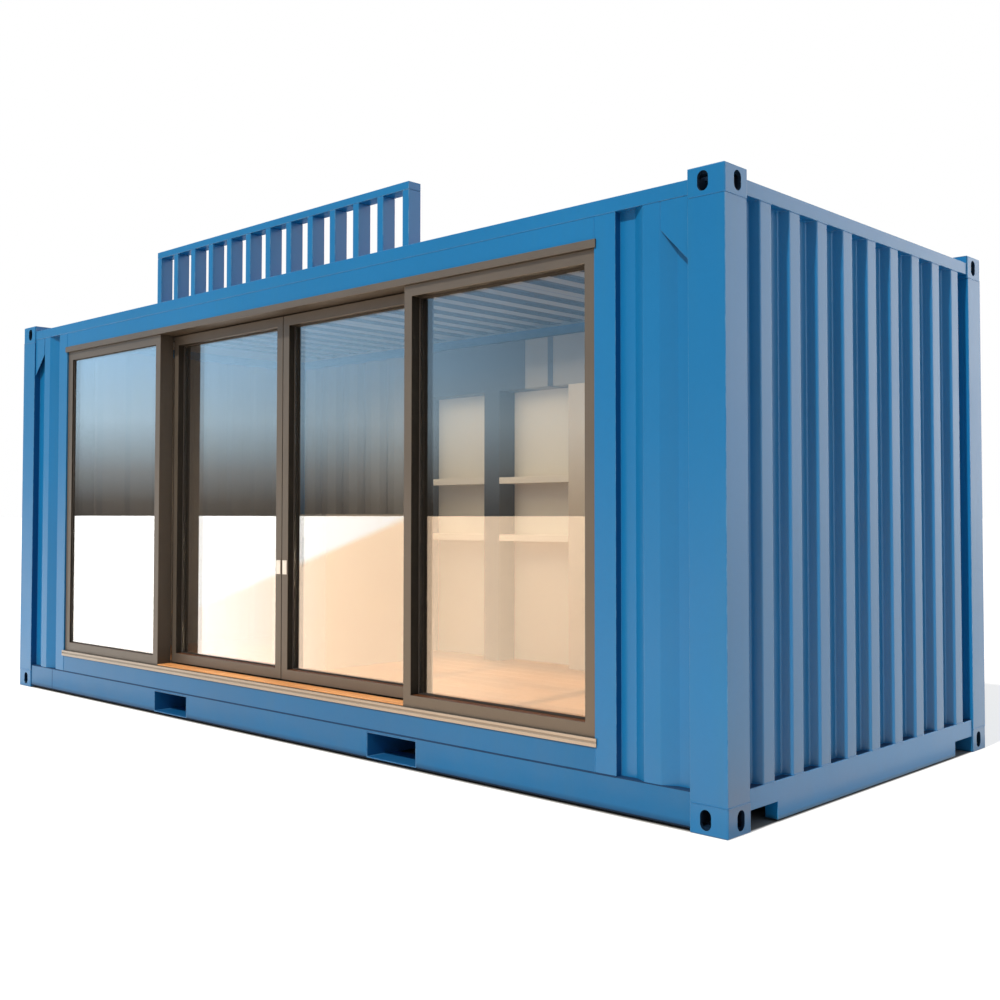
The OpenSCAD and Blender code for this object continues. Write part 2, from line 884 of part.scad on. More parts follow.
// Even row of fins between the front top rail and the bar
module sign_fins() {
  pitch = (sign_w - sign_fin_w) / (sign_fins_n - 1);
  color(steel) for (i = [0 : sign_fins_n - 1]) {
    translate([-sign_w / 2 + i * pitch, sign_front, top_rail_high])
      cube([sign_fin_w, sign_d, sign_h - sign_bar_h]);
  }
}

// Counter open on its left side, where the staff stand
module counter() {
  color(white_board) difference() {
    span([counter_x - counter_w, counter_front, floor_high],
         [counter_x, counter_back, floor_high + counter_h]);
    span([counter_x - counter_w - cut, counter_front + counter_t, floor_high - cut],
         [counter_x - counter_t, counter_back - counter_t, floor_high + counter_h - counter_t]);
  }
}

module display_posts() {
  color(dark_steel) for (i = [-1 : 1]) {
    span([display_x + i * display_bay - display_post_w / 2, display_front_y, floor_high],
         [display_x + i * display_bay + display_post_w / 2, display_back_y, valance_low]);
  }
}

module display_valance() {
  color(dark_steel) span([display_x - display_half, display_front_y, valance_low],
                         [display_x + display_half, display_back_y, valance_high]);
}

module display_back() {
  color(white_board) span([display_x - display_half, display_back_y, floor_high],
                          [display_x + display_half, display_wall_y, valance_high]);
}

// Shelves between the posts, on two levels
module display_shelves() {
  low = floor_high + shelf_rise;
  color(white_board) for (bay = [-1, 0], z = [low, low + shelf_step]) {
    span([display_x + bay * display_bay + display_post_w / 2, display_front_y, z],
         [display_x + (bay + 1) * display_bay - display_post_w / 2, display_back_y, z + shelf_t]);
  }
}

bottom_castings();
top_castings();
front_posts();
back_posts();
front_top_rail();
back_top_rail();
end_top_rails();
front_bottom_rail();
back_bottom_rail();
end_bottom_rails();
fork_pockets();
cross_members();
floor_deck();
floor_boards();
roof();
back_wall();
left_wall();
right_wall();
front_left_panel();
front_right_panel();
top_gussets();
header_beam();
sill_beam();
jamb_posts();
door_head();
door_sill();
door_jambs();
threshold_board();
left_fixed_frame();
right_fixed_frame();
fixed_glass();
left_door_frame();
left_door_glass();
left_door_handle();
left_door_lock();
left_door_rollers();
right_door_frame();
right_door_glass();
right_door_handle();
right_door_lock();
right_door_rollers();
sign_bar();
sign_fins();
counter();
display_posts();
display_valance();
display_back();
display_shelves();
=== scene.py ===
import itertools
import json
import math
import bmesh
import bpy
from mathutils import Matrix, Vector


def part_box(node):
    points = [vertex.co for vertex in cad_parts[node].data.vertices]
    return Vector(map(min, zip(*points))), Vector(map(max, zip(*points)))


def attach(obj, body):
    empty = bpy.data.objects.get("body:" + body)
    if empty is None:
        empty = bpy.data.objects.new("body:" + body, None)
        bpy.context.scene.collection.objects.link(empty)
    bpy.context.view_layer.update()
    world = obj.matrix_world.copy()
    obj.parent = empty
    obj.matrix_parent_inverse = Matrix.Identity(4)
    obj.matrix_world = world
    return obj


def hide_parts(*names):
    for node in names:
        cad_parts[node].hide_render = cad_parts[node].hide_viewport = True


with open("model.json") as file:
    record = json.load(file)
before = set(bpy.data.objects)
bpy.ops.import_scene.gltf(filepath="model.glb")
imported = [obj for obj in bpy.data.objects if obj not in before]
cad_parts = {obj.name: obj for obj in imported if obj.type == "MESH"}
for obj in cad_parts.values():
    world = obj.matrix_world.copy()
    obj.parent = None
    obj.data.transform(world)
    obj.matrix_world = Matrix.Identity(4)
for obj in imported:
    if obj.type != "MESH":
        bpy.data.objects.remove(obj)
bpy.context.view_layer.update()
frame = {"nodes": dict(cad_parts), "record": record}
scene = bpy.context.scene
nodes = frame["nodes"]
bodyOf = {node: body for body, names in frame["record"]["behaviour"]["bodies"].items() for node in names}
slotOf = {row["node"]: row["material_slot"] for row in frame["record"]["subparts"]}
print("frame loaded,", len(nodes), "nodes")


# camera on the spot the picture was taken from
cameraSetup = {
    "place": (5.5465, -5.0373, 1.2288),
    "azimuth": 42.855,  # degrees round from the glazed front
    "elevation": -1.847,  # looks slightly up
    "lens": 42.683,
    "sensor": 36.0,
    "shift": (-0.0289, -0.0233),
    "farClip": 2000.0,
}


def makeCamera(setup):
    data = bpy.data.cameras.new("cabinCamera")
    camera = bpy.data.objects.new("cabinCamera", data)
    scene.collection.objects.link(camera)
    turn, tilt = math.radians(setup["azimuth"]), math.radians(setup["elevation"])
    back = Vector((math.sin(turn) * math.cos(tilt), -math.cos(turn) * math.cos(tilt), math.sin(tilt)))
    camera.location = setup["place"]
    camera.rotation_mode = "QUATERNION"
    camera.rotation_quaternion = (-back).to_track_quat("-Z", "Y")
    data.sensor_width = setup["sensor"]
    data.lens = setup["lens"]
    data.shift_x, data.shift_y = setup["shift"]
    data.clip_end = setup["farClip"]
    scene.camera = camera


makeCamera(cameraSetup)
scene.view_settings.view_transform = "Standard"
print("camera set")


# small helpers for node trees: a number or colour is written on a socket, an output is linked to it
def feed(tree, socket, value):
    if isinstance(value, (int, float)):
        socket.default_value = value
    elif isinstance(value, tuple):
        socket.default_value = (*value, 1.0)
    else:
        tree.links.new(value, socket)


def feedAll(tree, node, values):
    for name, value in values.items():
        feed(tree, node.inputs[name], value)


def startMaterial(name, kind="ShaderNodeBsdfPrincipled"):
    material = bpy.data.materials.new(name)
    material.use_nodes = True
    tree = material.node_tree
    tree.nodes.clear()
    output = tree.nodes.new("ShaderNodeOutputMaterial")
    surface = tree.nodes.new(kind)
    tree.links.new(surface.outputs[0], output.inputs[0])
    return material, tree, surface


def objectPlace(tree, scale=(1, 1, 1), turn=(0, 0, 0)):
    coords = tree.nodes.new("ShaderNodeTexCoord")
    mapping = tree.nodes.new("ShaderNodeMapping")
    mapping.inputs["Scale"].default_value = scale
    mapping.inputs["Rotation"].default_value = turn
    tree.links.new(coords.outputs["Object"], mapping.inputs["Vector"])
    return mapping.outputs[0]


def noiseOn(tree, place, scale, detail=3.0, roughness=0.55):
    node = tree.nodes.new("ShaderNodeTexNoise")
    feedAll(tree, node, {"Vector": place, "Scale": scale, "Detail": detail, "Roughness": roughness})
    return node.outputs["Fac"]


def ranged(tree, value, low, high, toLow, toHigh):
    node = tree.nodes.new("ShaderNodeMapRange")
    feedAll(tree, node, {"Value": value, "From Min": low, "From Max": high, "To Min": toLow, "To Max": toHigh})
    return node.outputs[0]


def maths(tree, operation, first, second=0.0):
    node = tree.nodes.new("ShaderNodeMath")
    node.operation = operation
    feed(tree, node.inputs[0], first)
    feed(tree, node.inputs[1], second)
    return node.outputs[0]


def times(tree, first, second):
    return maths(tree, "MULTIPLY", first, second)


def mixed(tree, amount, first, second, blend="MIX"):
    node = tree.nodes.new("ShaderNodeMix")
    node.data_type = "RGBA"
    node.blend_type = blend
    for index, value in ((0, amount), (6, first), (7, second)):  # factor and the two colours
        feed(tree, node.inputs[index], value)
    return node.outputs[2]


# colour made darker and lighter by a pattern, a single number is a grey
def toned(tree, amount, colour, pattern, dark, light):
    dark, light = [tone if isinstance(tone, tuple) else (tone, tone, tone) for tone in (dark, light)]
    return mixed(tree, amount, colour, mixed(tree, pattern, dark, light), "MULTIPLY")


def mixedShader(tree, amount, first, second):
    node = tree.nodes.new("ShaderNodeMixShader")
    for socket, value in zip(node.inputs, (amount, first, second)):
        feed(tree, socket, value)
    return node.outputs[0]


def axisOf(tree, place, axis):
    node = tree.nodes.new("ShaderNodeSeparateXYZ")
    tree.links.new(place, node.inputs[0])
    return node.outputs[axis]


def bumpOn(tree, surface, height, distance):
    node = tree.nodes.new("ShaderNodeBump")
    feedAll(tree, node, {"Strength": 1.0, "Distance": distance, "Height": height})
    tree.links.new(node.outputs[0], surface.inputs["Normal"])


def pieceAttribute(tree, name):
    node = tree.nodes.new("ShaderNodeAttribute")
    node.attribute_name = name
    return node.outputs["Fac"]


# container paint: slow shifts of tone, rain streaks, dust near the ground, rubbed edges
paintSetup = {
    "colour": (0.006, 0.177, 0.428),
    "streak": (0.012, 0.180, 0.395),
    "dust": (0.16, 0.17, 0.17),
    "rubbed": (0.10, 0.28, 0.49),
    "roughness": (0.26, 0.36),
}


def paintedSteel(name, setup, dustHigh=0.40, dustMost=0.14, shine=0.32, grime=None):
    material, tree, surface = startMaterial(name)
    place = objectPlace(tree)
    up = axisOf(tree, place, 2)
    turned = objectPlace(tree, turn=(0.5, 0.8, 0.3))  # keeps the grain off the faces' own lines
    streaks = noiseOn(tree, objectPlace(tree, (9, 9, 0.5)), 1.6)
    colour = mixed(tree, ranged(tree, streaks, 0.48, 0.75, 0.0, 0.45), setup["colour"], setup["streak"])
    colour = toned(tree, 0.22, colour, noiseOn(tree, place, 0.8), 0.4, 1.6)
    colour = toned(tree, 0.04, colour, noiseOn(tree, turned, 34.0, 2.0), 0.2, 1.8)
    patches = ranged(tree, noiseOn(tree, place, 5.0, 3.0, 0.5), 0.25, 0.75, 0.0, 1.0)
    dusty = times(tree, ranged(tree, up, 0.0, dustHigh, dustMost, 0.0), patches)
    colour = mixed(tree, dusty, colour, setup["dust"])
    if grime:  # painted shade: lower edge of a rail gets darker towards the ground
        lower = ranged(tree, up, grime["start"], grime["start"] + grime["reach"], grime["most"], 0.0)
        colour = mixed(tree, lower, colour, grime["shade"])
    rub = ranged(tree, noiseOn(tree, place, 14.0, 4.0, 0.7), 0.42, 0.62, 0.0, 0.7)
    rubbed = times(tree, pieceAttribute(tree, "edgeStrip"), rub)
    feedAll(tree, surface, {
        "Base Color": mixed(tree, rubbed, colour, setup["rubbed"]),
        "Roughness": ranged(tree, noiseOn(tree, place, 3.0, 1.0, 0.5), 0.0, 1.0, *setup["roughness"]),
        "Specular IOR Level": shine})
    grain = times(tree, noiseOn(tree, turned, 70.0, 1.0), 0.006)
    waves = times(tree, noiseOn(tree, place, 2.2, 2.0), 0.35)
    bumpOn(tree, surface, maths(tree, "ADD", grain, waves), 0.004)
    return material


def bluePaint(name, colour, streak, **changes):
    return paintedSteel(name, dict(paintSetup, colour=colour, streak=streak), **changes)


# painted shade on the rails' lower edge: start height, reach, strength and colour
railStart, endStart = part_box("front_bottom_rail")[0][2] + 0.004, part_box("end_bottom_rails")[0][2]
railLowShade = {"start": railStart, "reach": 0.030, "most": 0.9, "shade": (0.003, 0.040, 0.11)}
endRailLowShade = {"start": endStart, "reach": 0.018, "most": 0.7, "shade": (0.02, 0.07, 0.09)}
containerPaint = paintedSteel("containerPaint", paintSetup)
# rails and sill beam: container paint made darker, painted shade low down near the ground
railShadePaint = bluePaint("railShadePaint", (0.005, 0.146, 0.356), (0.010, 0.148, 0.335), shine=0.22, grime=railLowShade)
# end rails: container paint made lighter and bluer, a painted bluish reflection
endRailReflectionPaint = bluePaint("endRailReflectionPaint", (0.008, 0.235, 0.56), (0.012, 0.23, 0.53), dustMost=0.04, shine=0.26,
                         grime=endRailLowShade)
# painted shade: container paint made darker for the posts' sides deep in the recesses
recessShadePaint = bluePaint("recessShadePaint", (0.002, 0.080, 0.235), (0.004, 0.085, 0.23), shine=0.2)
# underframe: container paint made darker, for dirt and for painted shade under the cabin
underDirtShadePaint = bluePaint("underframeDirtAndShade", (0.006, 0.125, 0.33), (0.010, 0.12, 0.30), dustHigh=0.3, dustMost=0.1)
insidePaint = paintedSteel("insidePaint", {
    "colour": (0.32, 0.31, 0.29), "streak": (0.29, 0.28, 0.26), "dust": (0.30, 0.25, 0.20),
    "rubbed": (0.37, 0.36, 0.34), "roughness": (0.45, 0.6)}, 0.5, 0.3)
ceilingPaint = paintedSteel("ceilingPaint", {
    "colour": (0.45, 0.50, 0.54), "streak": (0.40, 0.44, 0.48), "dust": (0.2, 0.2, 0.2),
    "rubbed": (0.47, 0.51, 0.55), "roughness": (0.4, 0.55)}, 0.5, 0.0)
ridgeShade = paintedSteel("ridgeShade", {
    "colour": (0.045, 0.065, 0.09), "streak": (0.04, 0.055, 0.075), "dust": (0.2, 0.2, 0.2),
    "rubbed": (0.06, 0.08, 0.11), "roughness": (0.5, 0.6)}, 0.5, 0.0)
print("paints made")


# bronze anodised bars: fine drawn lines along the bar, soft tone shifts
def anodised(name, colour, metal, shine=0.5, roughness=(0.36, 0.5), groove=None):
    material, tree, surface = startMaterial(name)
    place = objectPlace(tree)
    height = axisOf(tree, place, 2)
    upright = noiseOn(tree, objectPlace(tree, (900, 900, 3)), 1.0, 2.0)
    level = noiseOn(tree, objectPlace(tree, (3, 900, 900)), 1.0, 2.0)
    drawn = times(tree, upright, level)
    tone = noiseOn(tree, place, 2.5, 4.0)
    shade = toned(tree, 0.25, colour, tone, (0.4, 0.4, 0.42), (1.6, 1.6, 1.56))
    shade = toned(tree, 0.16, shade, drawn, 0.3, 2.2)
    patches = ranged(tree, noiseOn(tree, place, 9.0, 5.0, 0.65), 0.4, 0.7, 0.0, 1.0)
    dusty = times(tree, ranged(tree, height, 0.26, 0.6, 0.03, 0.0), patches)
    shade = mixed(tree, dusty, shade, (0.30, 0.26, 0.21))
    if groove:  # painted shade in the groove: dark line along the bar between two heights
        low, high, soft = groove["low"], groove["high"], groove["soft"]
        line = times(tree, ranged(tree, height, low - soft, low + soft, 0.0, 1.0),
                     ranged(tree, height, high - soft, high + soft, groove["most"], 0.0))
        shade = mixed(tree, line, shade, groove["shade"])
    feedAll(tree, surface, {
        "Base Color": shade, "Roughness": ranged(tree, tone, 0.1, 0.9, *roughness), "Metallic": metal,
        "Specular IOR Level": shine})
    bumpOn(tree, surface, drawn, 0.0004)
    return material


bronzeBar = anodised("bronzeBar", (0.118, 0.097, 0.077), 0.25)
# sides of the bars: darker bronze, painted shade
bronzeSideShade = anodised("bronzeSideShade", (0.060, 0.048, 0.036), 0.1, 0.35)
bronzeShade = anodised("bronzeShade", (0.020, 0.017, 0.013), 0.0, 0.12)
# upward faces in the reveals: warm brown, a painted reflection of the floor
bronzeRevealReflection = anodised("bronzeRevealReflection", (0.100, 0.034, 0.010), 0.0, 0.12)
(sillLeft, sillFront, sillLow), (sillRight, *_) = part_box("door_sill")
sillGroove = {"low": sillLow + 0.015, "high": sillLow + 0.024, "soft": 0.0015, "most": 0.5, "shade": (0.13, 0.11, 0.09),
              "front": sillFront, "deep": 0.004, "endGap": 0.008}
sillBar = anodised("sillBar", (0.42, 0.355, 0.29), 0.35, groove=sillGroove)


# timber: grain stretched along the board, one tone for each board
def timber(name, light, dark, tones=0.5, roughness=(0.35, 0.55), along=0):
    material, tree, surface = startMaterial(name)
    stretch, poreStretch = [tuple(long if axis == along else across for axis in range(3))
                            for long, across in ((1.6, 26.0), (9.0, 700.0))]
    board = pieceAttribute(tree, "boardTone")
    shifted = tree.nodes.new("ShaderNodeVectorMath")
    shifted.operation = "ADD"
    feed(tree, shifted.inputs[0], objectPlace(tree, stretch))
    feed(tree, shifted.inputs[1], times(tree, board, 37.0))
    rings = noiseOn(tree, shifted.outputs[0], 1.0, 6.0, 0.6)
    pores = noiseOn(tree, objectPlace(tree, poreStretch), 1.0, 2.0)
    colour = mixed(tree, ranged(tree, rings, 0.3, 0.7, 0.0, 1.0), dark, light)
    colour = toned(tree, tones, colour, board, (0.62, 0.58, 0.55), (1.3, 1.3, 1.28))
    colour = toned(tree, 0.22, colour, pores, (0.3, 0.28, 0.26), 1.6)
    feedAll(tree, surface, {"Base Color": colour, "Roughness": ranged(tree, rings, 0.3, 0.7, *roughness)})
    bumpOn(tree, surface, maths(tree, "ADD", rings, times(tree, pores, 0.5)), 0.0006)
    return material


floorTimber = timber("floorTimber", (0.46, 0.21, 0.085), (0.30, 0.115, 0.042))
thresholdTimber = timber("thresholdTimber", (0.97, 0.46, 0.165), (0.70, 0.285, 0.09), 0.0)
deckPly = timber("deckPly", (0.34, 0.21, 0.12), (0.22, 0.12, 0.07), 0.0, (0.6, 0.8))


# painted boards of counter and display: faint roller texture
def paintedBoard(name, colour, roughness=(0.4, 0.52)):
    material, tree, surface = startMaterial(name)
    place = objectPlace(tree)
    roller = noiseOn(tree, place, 240.0)
    cloud = noiseOn(tree, place, 1.7, 4.0)
    shade = toned(tree, 0.05, toned(tree, 0.10, colour, cloud, 0.4, 1.6), roller, 0.2, 1.8)
    feedAll(tree, surface, {"Base Color": shade, "Roughness": ranged(tree, cloud, 0.3, 0.7, *roughness)})
    bumpOn(tree, surface, roller, 0.0003)
    return material


whiteBoard = paintedBoard("whiteBoard", (0.78, 0.73, 0.64))
displayBoard = paintedBoard("displayBoard", (0.055, 0.075, 0.105))
greyBoard = paintedBoard("greyBoard", (0.30, 0.29, 0.28))
counterSide = paintedBoard("counterSide", (0.60, 0.54, 0.46))
# counter front darker than its sides, painted shade over the sunlit face
counterFrontShade = paintedBoard("counterFrontShade", (0.27, 0.235, 0.19))


# metals, rubber and plastic of the small parts
def plainGrain(name, colour, grain, metal, roughness, shine=0.5):
    material, tree, surface = startMaterial(name)
    lines = noiseOn(tree, objectPlace(tree, grain), 1.0)
    feedAll(tree, surface, {
        "Base Color": toned(tree, 0.3, colour, lines, 0.4, 1.6),
        "Roughness": ranged(tree, lines, 0.3, 0.7, *roughness), "Metallic": metal, "Specular IOR Level": shine})
    bumpOn(tree, surface, lines, 0.0002)
    return material


lockSteel = plainGrain("lockSteel", (0.70, 0.68, 0.64), (40, 40, 1500), 0.85, (0.28, 0.42))
handleBlack = plainGrain("handleBlack", (0.030, 0.030, 0.032), (300, 300, 300), 0.2, (0.32, 0.45))
rollerPlastic = plainGrain("rollerPlastic", (0.05, 0.05, 0.052), (200, 200, 200), 0.0, (0.5, 0.65))
# dark rubber with a faint brown tint, a painted reflection of the warm floor
sealRubber = plainGrain("sealRubber", (0.022, 0.017, 0.013), (500, 500, 500), 0.0, (0.55, 0.75))
# painted shade: dark coat on the rails' rounded lower edge and inside the casting holes
undersideShade = plainGrain("undersideShade", (0.004, 0.020, 0.050), (60, 200, 200), 0.0, (0.5, 0.7), 0.15)
# dark strips of painted shade in seams and on ledges, also the dark line of a butt joint
darkJointAndShade = plainGrain("darkJointAndShade", (0.010, 0.045, 0.115), (120, 400, 400), 0.0, (0.5, 0.65), 0.15)


# coated glazing that lets lamp light through to the room
glassSetup = {
    "tint": ((0.965, 0.98, 0.98), (0.99, 0.995, 0.995)), "smear": (0.45, 0.8, 0.0, 0.012), "bending": 1.5,
    "coat": (0.97, 0.98, 1.0), "mirror": (0.27, 1.0, 0.008, 0.95),  # from face on to edge on
    "clear": (0.985, 0.99, 0.99),
}


def glazing(name, setup):
    material, tree, surface = startMaterial(name)
    smear = noiseOn(tree, objectPlace(tree), 3.0, 5.0, 0.6)
    feedAll(tree, surface, {
        "Base Color": mixed(tree, smear, *setup["tint"]), "Roughness": ranged(tree, smear, *setup["smear"]),
        "Transmission Weight": 1.0, "IOR": setup["bending"]})
    facing = tree.nodes.new("ShaderNodeLayerWeight")
    facing.inputs["Blend"].default_value = 0.5
    mirror = tree.nodes.new("ShaderNodeBsdfGlossy")
    feedAll(tree, mirror, {"Color": setup["coat"], "Roughness": 0.0})
    amount = ranged(tree, facing.outputs["Facing"], *setup["mirror"])
    coated = mixedShader(tree, amount, surface.outputs[0], mirror.outputs[0])
    clear = tree.nodes.new("ShaderNodeBsdfTransparent")
    feed(tree, clear.inputs[0], setup["clear"])
    path = tree.nodes.new("ShaderNodeLightPath")
    lampRay = maths(tree, "MAXIMUM", path.outputs["Is Shadow Ray"], path.outputs["Is Diffuse Ray"])
    output = next(n for n in tree.nodes if n.type == "OUTPUT_MATERIAL")
    tree.links.new(mixedShader(tree, lampRay, coated, clear.outputs[0]), output.inputs[0])
    return material


coatedGlass = glazing("coatedGlass", glassSetup)
print("finishes made")


# every piece rides on a body and may stand for CAD nodes
def finishPiece(piece, body, slot, *stoodFor):
    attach(piece, body)
    if stoodFor:
        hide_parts(*stoodFor)
    return piece


def linked(name, mesh):
    piece = bpy.data.objects.new(name, mesh)
    scene.collection.objects.link(piece)
    return piece


def baked(piece):
    bpy.context.view_layer.update()
    solved = piece.evaluated_get(bpy.context.evaluated_depsgraph_get())
    mesh = bpy.data.meshes.new_from_object(solved)
    piece.modifiers.clear()
    piece.data = mesh
    return piece


def flatShading(piece):
    weighted = piece.modifiers.new("evenFaces", "WEIGHTED_NORMAL")
    weighted.keep_sharp = True
    return baked(piece)


def smoothFaces(mesh):
    for polygon in mesh.polygons:
        polygon.use_smooth = True


edgeSetup = {"merge": 1e-5, "flat": 0.4, "sharp": 24.0, "steps": 2, "foldSteps": 4, "near": 0.0005}  # angles in degrees


# joined-up copy of a CAD node's triangles
def mergedWork(node):
    work = bmesh.new()
    work.from_mesh(nodes[node].data)
    bmesh.ops.remove_doubles(work, verts=work.verts[:], dist=edgeSetup["merge"])
    flat = math.radians(edgeSetup["flat"])
    bmesh.ops.dissolve_limit(work, angle_limit=flat, verts=work.verts[:], edges=work.edges[:])
    return work


def meshFrom(work, name):
    mesh = bpy.data.meshes.new(name)
    work.to_mesh(mesh)
    work.free()
    return mesh


def bevelled(work, edges, width, steps=edgeSetup["steps"]):
    return bmesh.ops.bevel(work, geom=edges, offset=width, segments=steps, profile=0.5, affect="EDGES",
                           clamp_overlap=True)


def sliceAt(work, axis, spot):
    place, normal = [tuple(value if i == axis else 0 for i in range(3)) for value in (spot, 1)]
    bmesh.ops.bisect_plane(work, geom=work.verts[:] + work.edges[:] + work.faces[:], plane_co=place, plane_no=normal)


# recess in a front face, between two heights and two places in X
def cutGroove(work, groove, left, right):
    for height in (groove["low"], groove["high"]):
        sliceAt(work, 2, height)
    band = []
    for face in work.faces:
        x, y, z = face.calc_center_median()
        ahead = face.normal.y < -0.99 and abs(y - groove["front"]) < edgeSetup["near"]
        if ahead and groove["low"] < z < groove["high"] and left < x < right:
            band.append(face)
    pushed = bmesh.ops.extrude_face_region(work, geom=band)["geom"]
    corners = [part for part in pushed if isinstance(part, bmesh.types.BMVert)]
    bmesh.ops.translate(work, verts=corners, vec=(0, groove["deep"], 0))
    bmesh.ops.delete(work, geom=[face for face in band if face.is_valid], context="FACES_ONLY")


# copy of a CAD node with its edges broken, the new strips marked for rubbed paint; choose picks a face's material,
# bend is a test for edges with a wider radius, cuts are places in X where the finish or a groove ends
def softenNode(node, name, width, materials, choose=None, bend=None, cuts=(), groove=None):
    work = mergedWork(node)
    strip = work.faces.layers.float.new("edgeStrip")
    for cut in cuts:
        sliceAt(work, 0, cut)
    if groove:
        cutGroove(work, groove, cuts[0], cuts[-1])
    if bend:
        folds = [e for e in work.edges if all(bend["test"](v.co) for v in e.verts)]
        bevelled(work, folds, bend["radius"], edgeSetup["foldSteps"])
    sharp = math.radians(edgeSetup["sharp"])
    made = bevelled(work, [e for e in work.edges if len(e.link_faces) == 2 and e.calc_face_angle() > sharp], width)
    for face in work.faces:
        face.smooth = True
    for face in made["faces"]:
        face[strip] = 1.0
    if choose:
        for face in work.faces:
            face.material_index = choose(face.normal, face.calc_center_median())
    mesh = meshFrom(work, name)
    for material in materials:
        mesh.materials.append(material)
    piece = flatShading(linked(name, mesh))
    return finishPiece(piece, bodyOf[node], slotOf[node], node)


# steel frame members with broken edges
steelEdges = {
    "bottom_castings": 0.0015, "top_castings": 0.0015, "front_posts": 0.0028, "back_posts": 0.0028,
    "front_top_rail": 0.0019, "back_top_rail": 0.0019, "end_top_rails": 0.0019,
    "front_bottom_rail": 0.0020, "back_bottom_rail": 0.0020, "end_bottom_rails": 0.0022,
    "header_beam": 0.0018, "sill_beam": 0.0018, "jamb_posts": 0.0018, "top_gussets": 0.0012,
    "sign_bar": 0.003, "sign_fins": 0.003,
}
railFold = {"radius": 0.010, "shadeHigh": 0.0098}  # folded plate, its rounded lower edge painted dark as shade
castingSetup = {"long": 0.1774, "wide": 0.1614, "skin": 0.003}
stripFront = -1.09  # sides of the posts ahead of this face each other across the corrugated strips
ownPaint = {"sill_beam": railShadePaint, "end_bottom_rails": endRailReflectionPaint}
for node, width in steelEdges.items():
    low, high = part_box(node)
    finishes, tone, bend = [ownPaint.get(node, containerPaint)], None, None
    if node in ("front_bottom_rail", "back_bottom_rail"):
        out = low[1] if node.startswith("front") else high[1]
        onFold = lambda spot: spot.z < low[2] + edgeSetup["near"] and abs(spot.y - out) < edgeSetup["near"]
        finishes, bend = [railShadePaint, undersideShade], {"test": onFold, "radius": railFold["radius"]}
        tone = lambda normal, spot: int(spot.z < low[2] + railFold["shadeHigh"])
    elif node.endswith("castings"):
        # inside of the casting holes takes the dark painted shade
        inX, inY, skin = high[0] - castingSetup["long"], high[1] - castingSetup["wide"], castingSetup["skin"]
        hollow = lambda spot: all(low[i] + skin < spot[i] < high[i] - skin for i in range(3))
        finishes = [containerPaint, undersideShade]
        tone = lambda normal, spot: int(abs(spot.x) > inX and abs(spot.y) > inY and hollow(spot))
    elif node in ("jamb_posts", "front_posts"):
        # sides of the posts that face each other across the strips take the painted shade
        facing = 1 if node == "jamb_posts" else -1
        finishes = [containerPaint, recessShadePaint]
        tone = lambda normal, spot: int(abs(normal.x) > 0.9 and normal.x * spot.x * facing > 0 and spot.y < stripFront)
    softenNode(node, node + "_painted", width, finishes, tone, bend)
for node, width in {"fork_pockets": 0.002, "cross_members": 0.0015}.items():
    softenNode(node, node + "_painted", width, [underDirtShadePaint])
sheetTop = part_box("front_top_rail")[1][2]
softenNode("roof", "roof_painted", 0.004, [containerPaint, ceilingPaint, ridgeShade],
           lambda normal, spot: 0 if normal.z > -0.2 else (2 if spot.z > sheetTop else 1))
print("steel frame done")


# helpers for geometry trees with named inputs
def newTree(name, numbers, materials=()):
    tree = bpy.data.node_groups.new(name, "GeometryNodeTree")
    tree.interface.new_socket("Geometry", in_out="INPUT", socket_type="NodeSocketGeometry")
    for title, value in numbers.items():
        kind = "NodeSocketInt" if isinstance(value, int) else "NodeSocketFloat"
        socket = tree.interface.new_socket(title, in_out="INPUT", socket_type=kind)
        socket.default_value = value
    for title in materials:
        tree.interface.new_socket(title, in_out="INPUT", socket_type="NodeSocketMaterial")
    tree.interface.new_socket("Geometry", in_out="OUTPUT", socket_type="NodeSocketGeometry")
    return tree, tree.nodes.new("NodeGroupInput").outputs, tree.nodes.new("NodeGroupOutput").inputs[0]


def runTree(piece, tree, values):
    modifier = piece.modifiers.new(tree.name, "NODES")
    modifier.node_group = tree
    for item in tree.interface.items_tree:
        if item.in_out == "INPUT" and item.name in values:
            modifier[item.identifier] = values[item.name]
    return piece


# a geometry node with its settings; what is given for an input may be a node, an output or a number
def step(tree, kind, given=None, **settings):
    node = tree.nodes.new("GeometryNode" + kind)
    for name, value in settings.items():
        setattr(node, name, value)
    for name, source in (given or {}).items():
        feed(tree, node.inputs[name], source.outputs[0] if isinstance(source, bpy.types.Node) else source)
    return node


def vectorOf(tree, **parts):
    node = tree.nodes.new("ShaderNodeCombineXYZ")
    feedAll(tree, node, parts)
    return node.outputs[0]


def endTree(tree, geometry, material, end):
    real = step(tree, "RealizeInstances", {"Geometry": geometry})
    done = step(tree, "SetMaterial", {"Geometry": real, "Material": material})
    tree.links.new(done.outputs[0], end)
    return tree


# pressed sheets: a folded path with rounded bends, raised along Z and given its thickness inwards
sheetSetup = {"Thickness": 0.002, "Bend Steps": 4}  # named as the tree's inputs
sheetSharp = 35.0  # degrees
sideWave = {"crest": 0.082, "slope": 0.066, "depth": 0.036, "pitch": 0.286, "bend": 0.016}
endWave = {"crest": 0.086, "slope": 0.020, "depth": 0.045, "pitch": 0.228, "bend": 0.011}
sheetRows = {  # wave, axis it runs along, side it faces
    "back_wall": (sideWave, 0, 1), "front_left_panel": (sideWave, 0, -1), "front_right_panel": (sideWave, 0, -1),
    "right_wall": (endWave, 1, 1), "left_wall": (endWave, 1, -1),
}


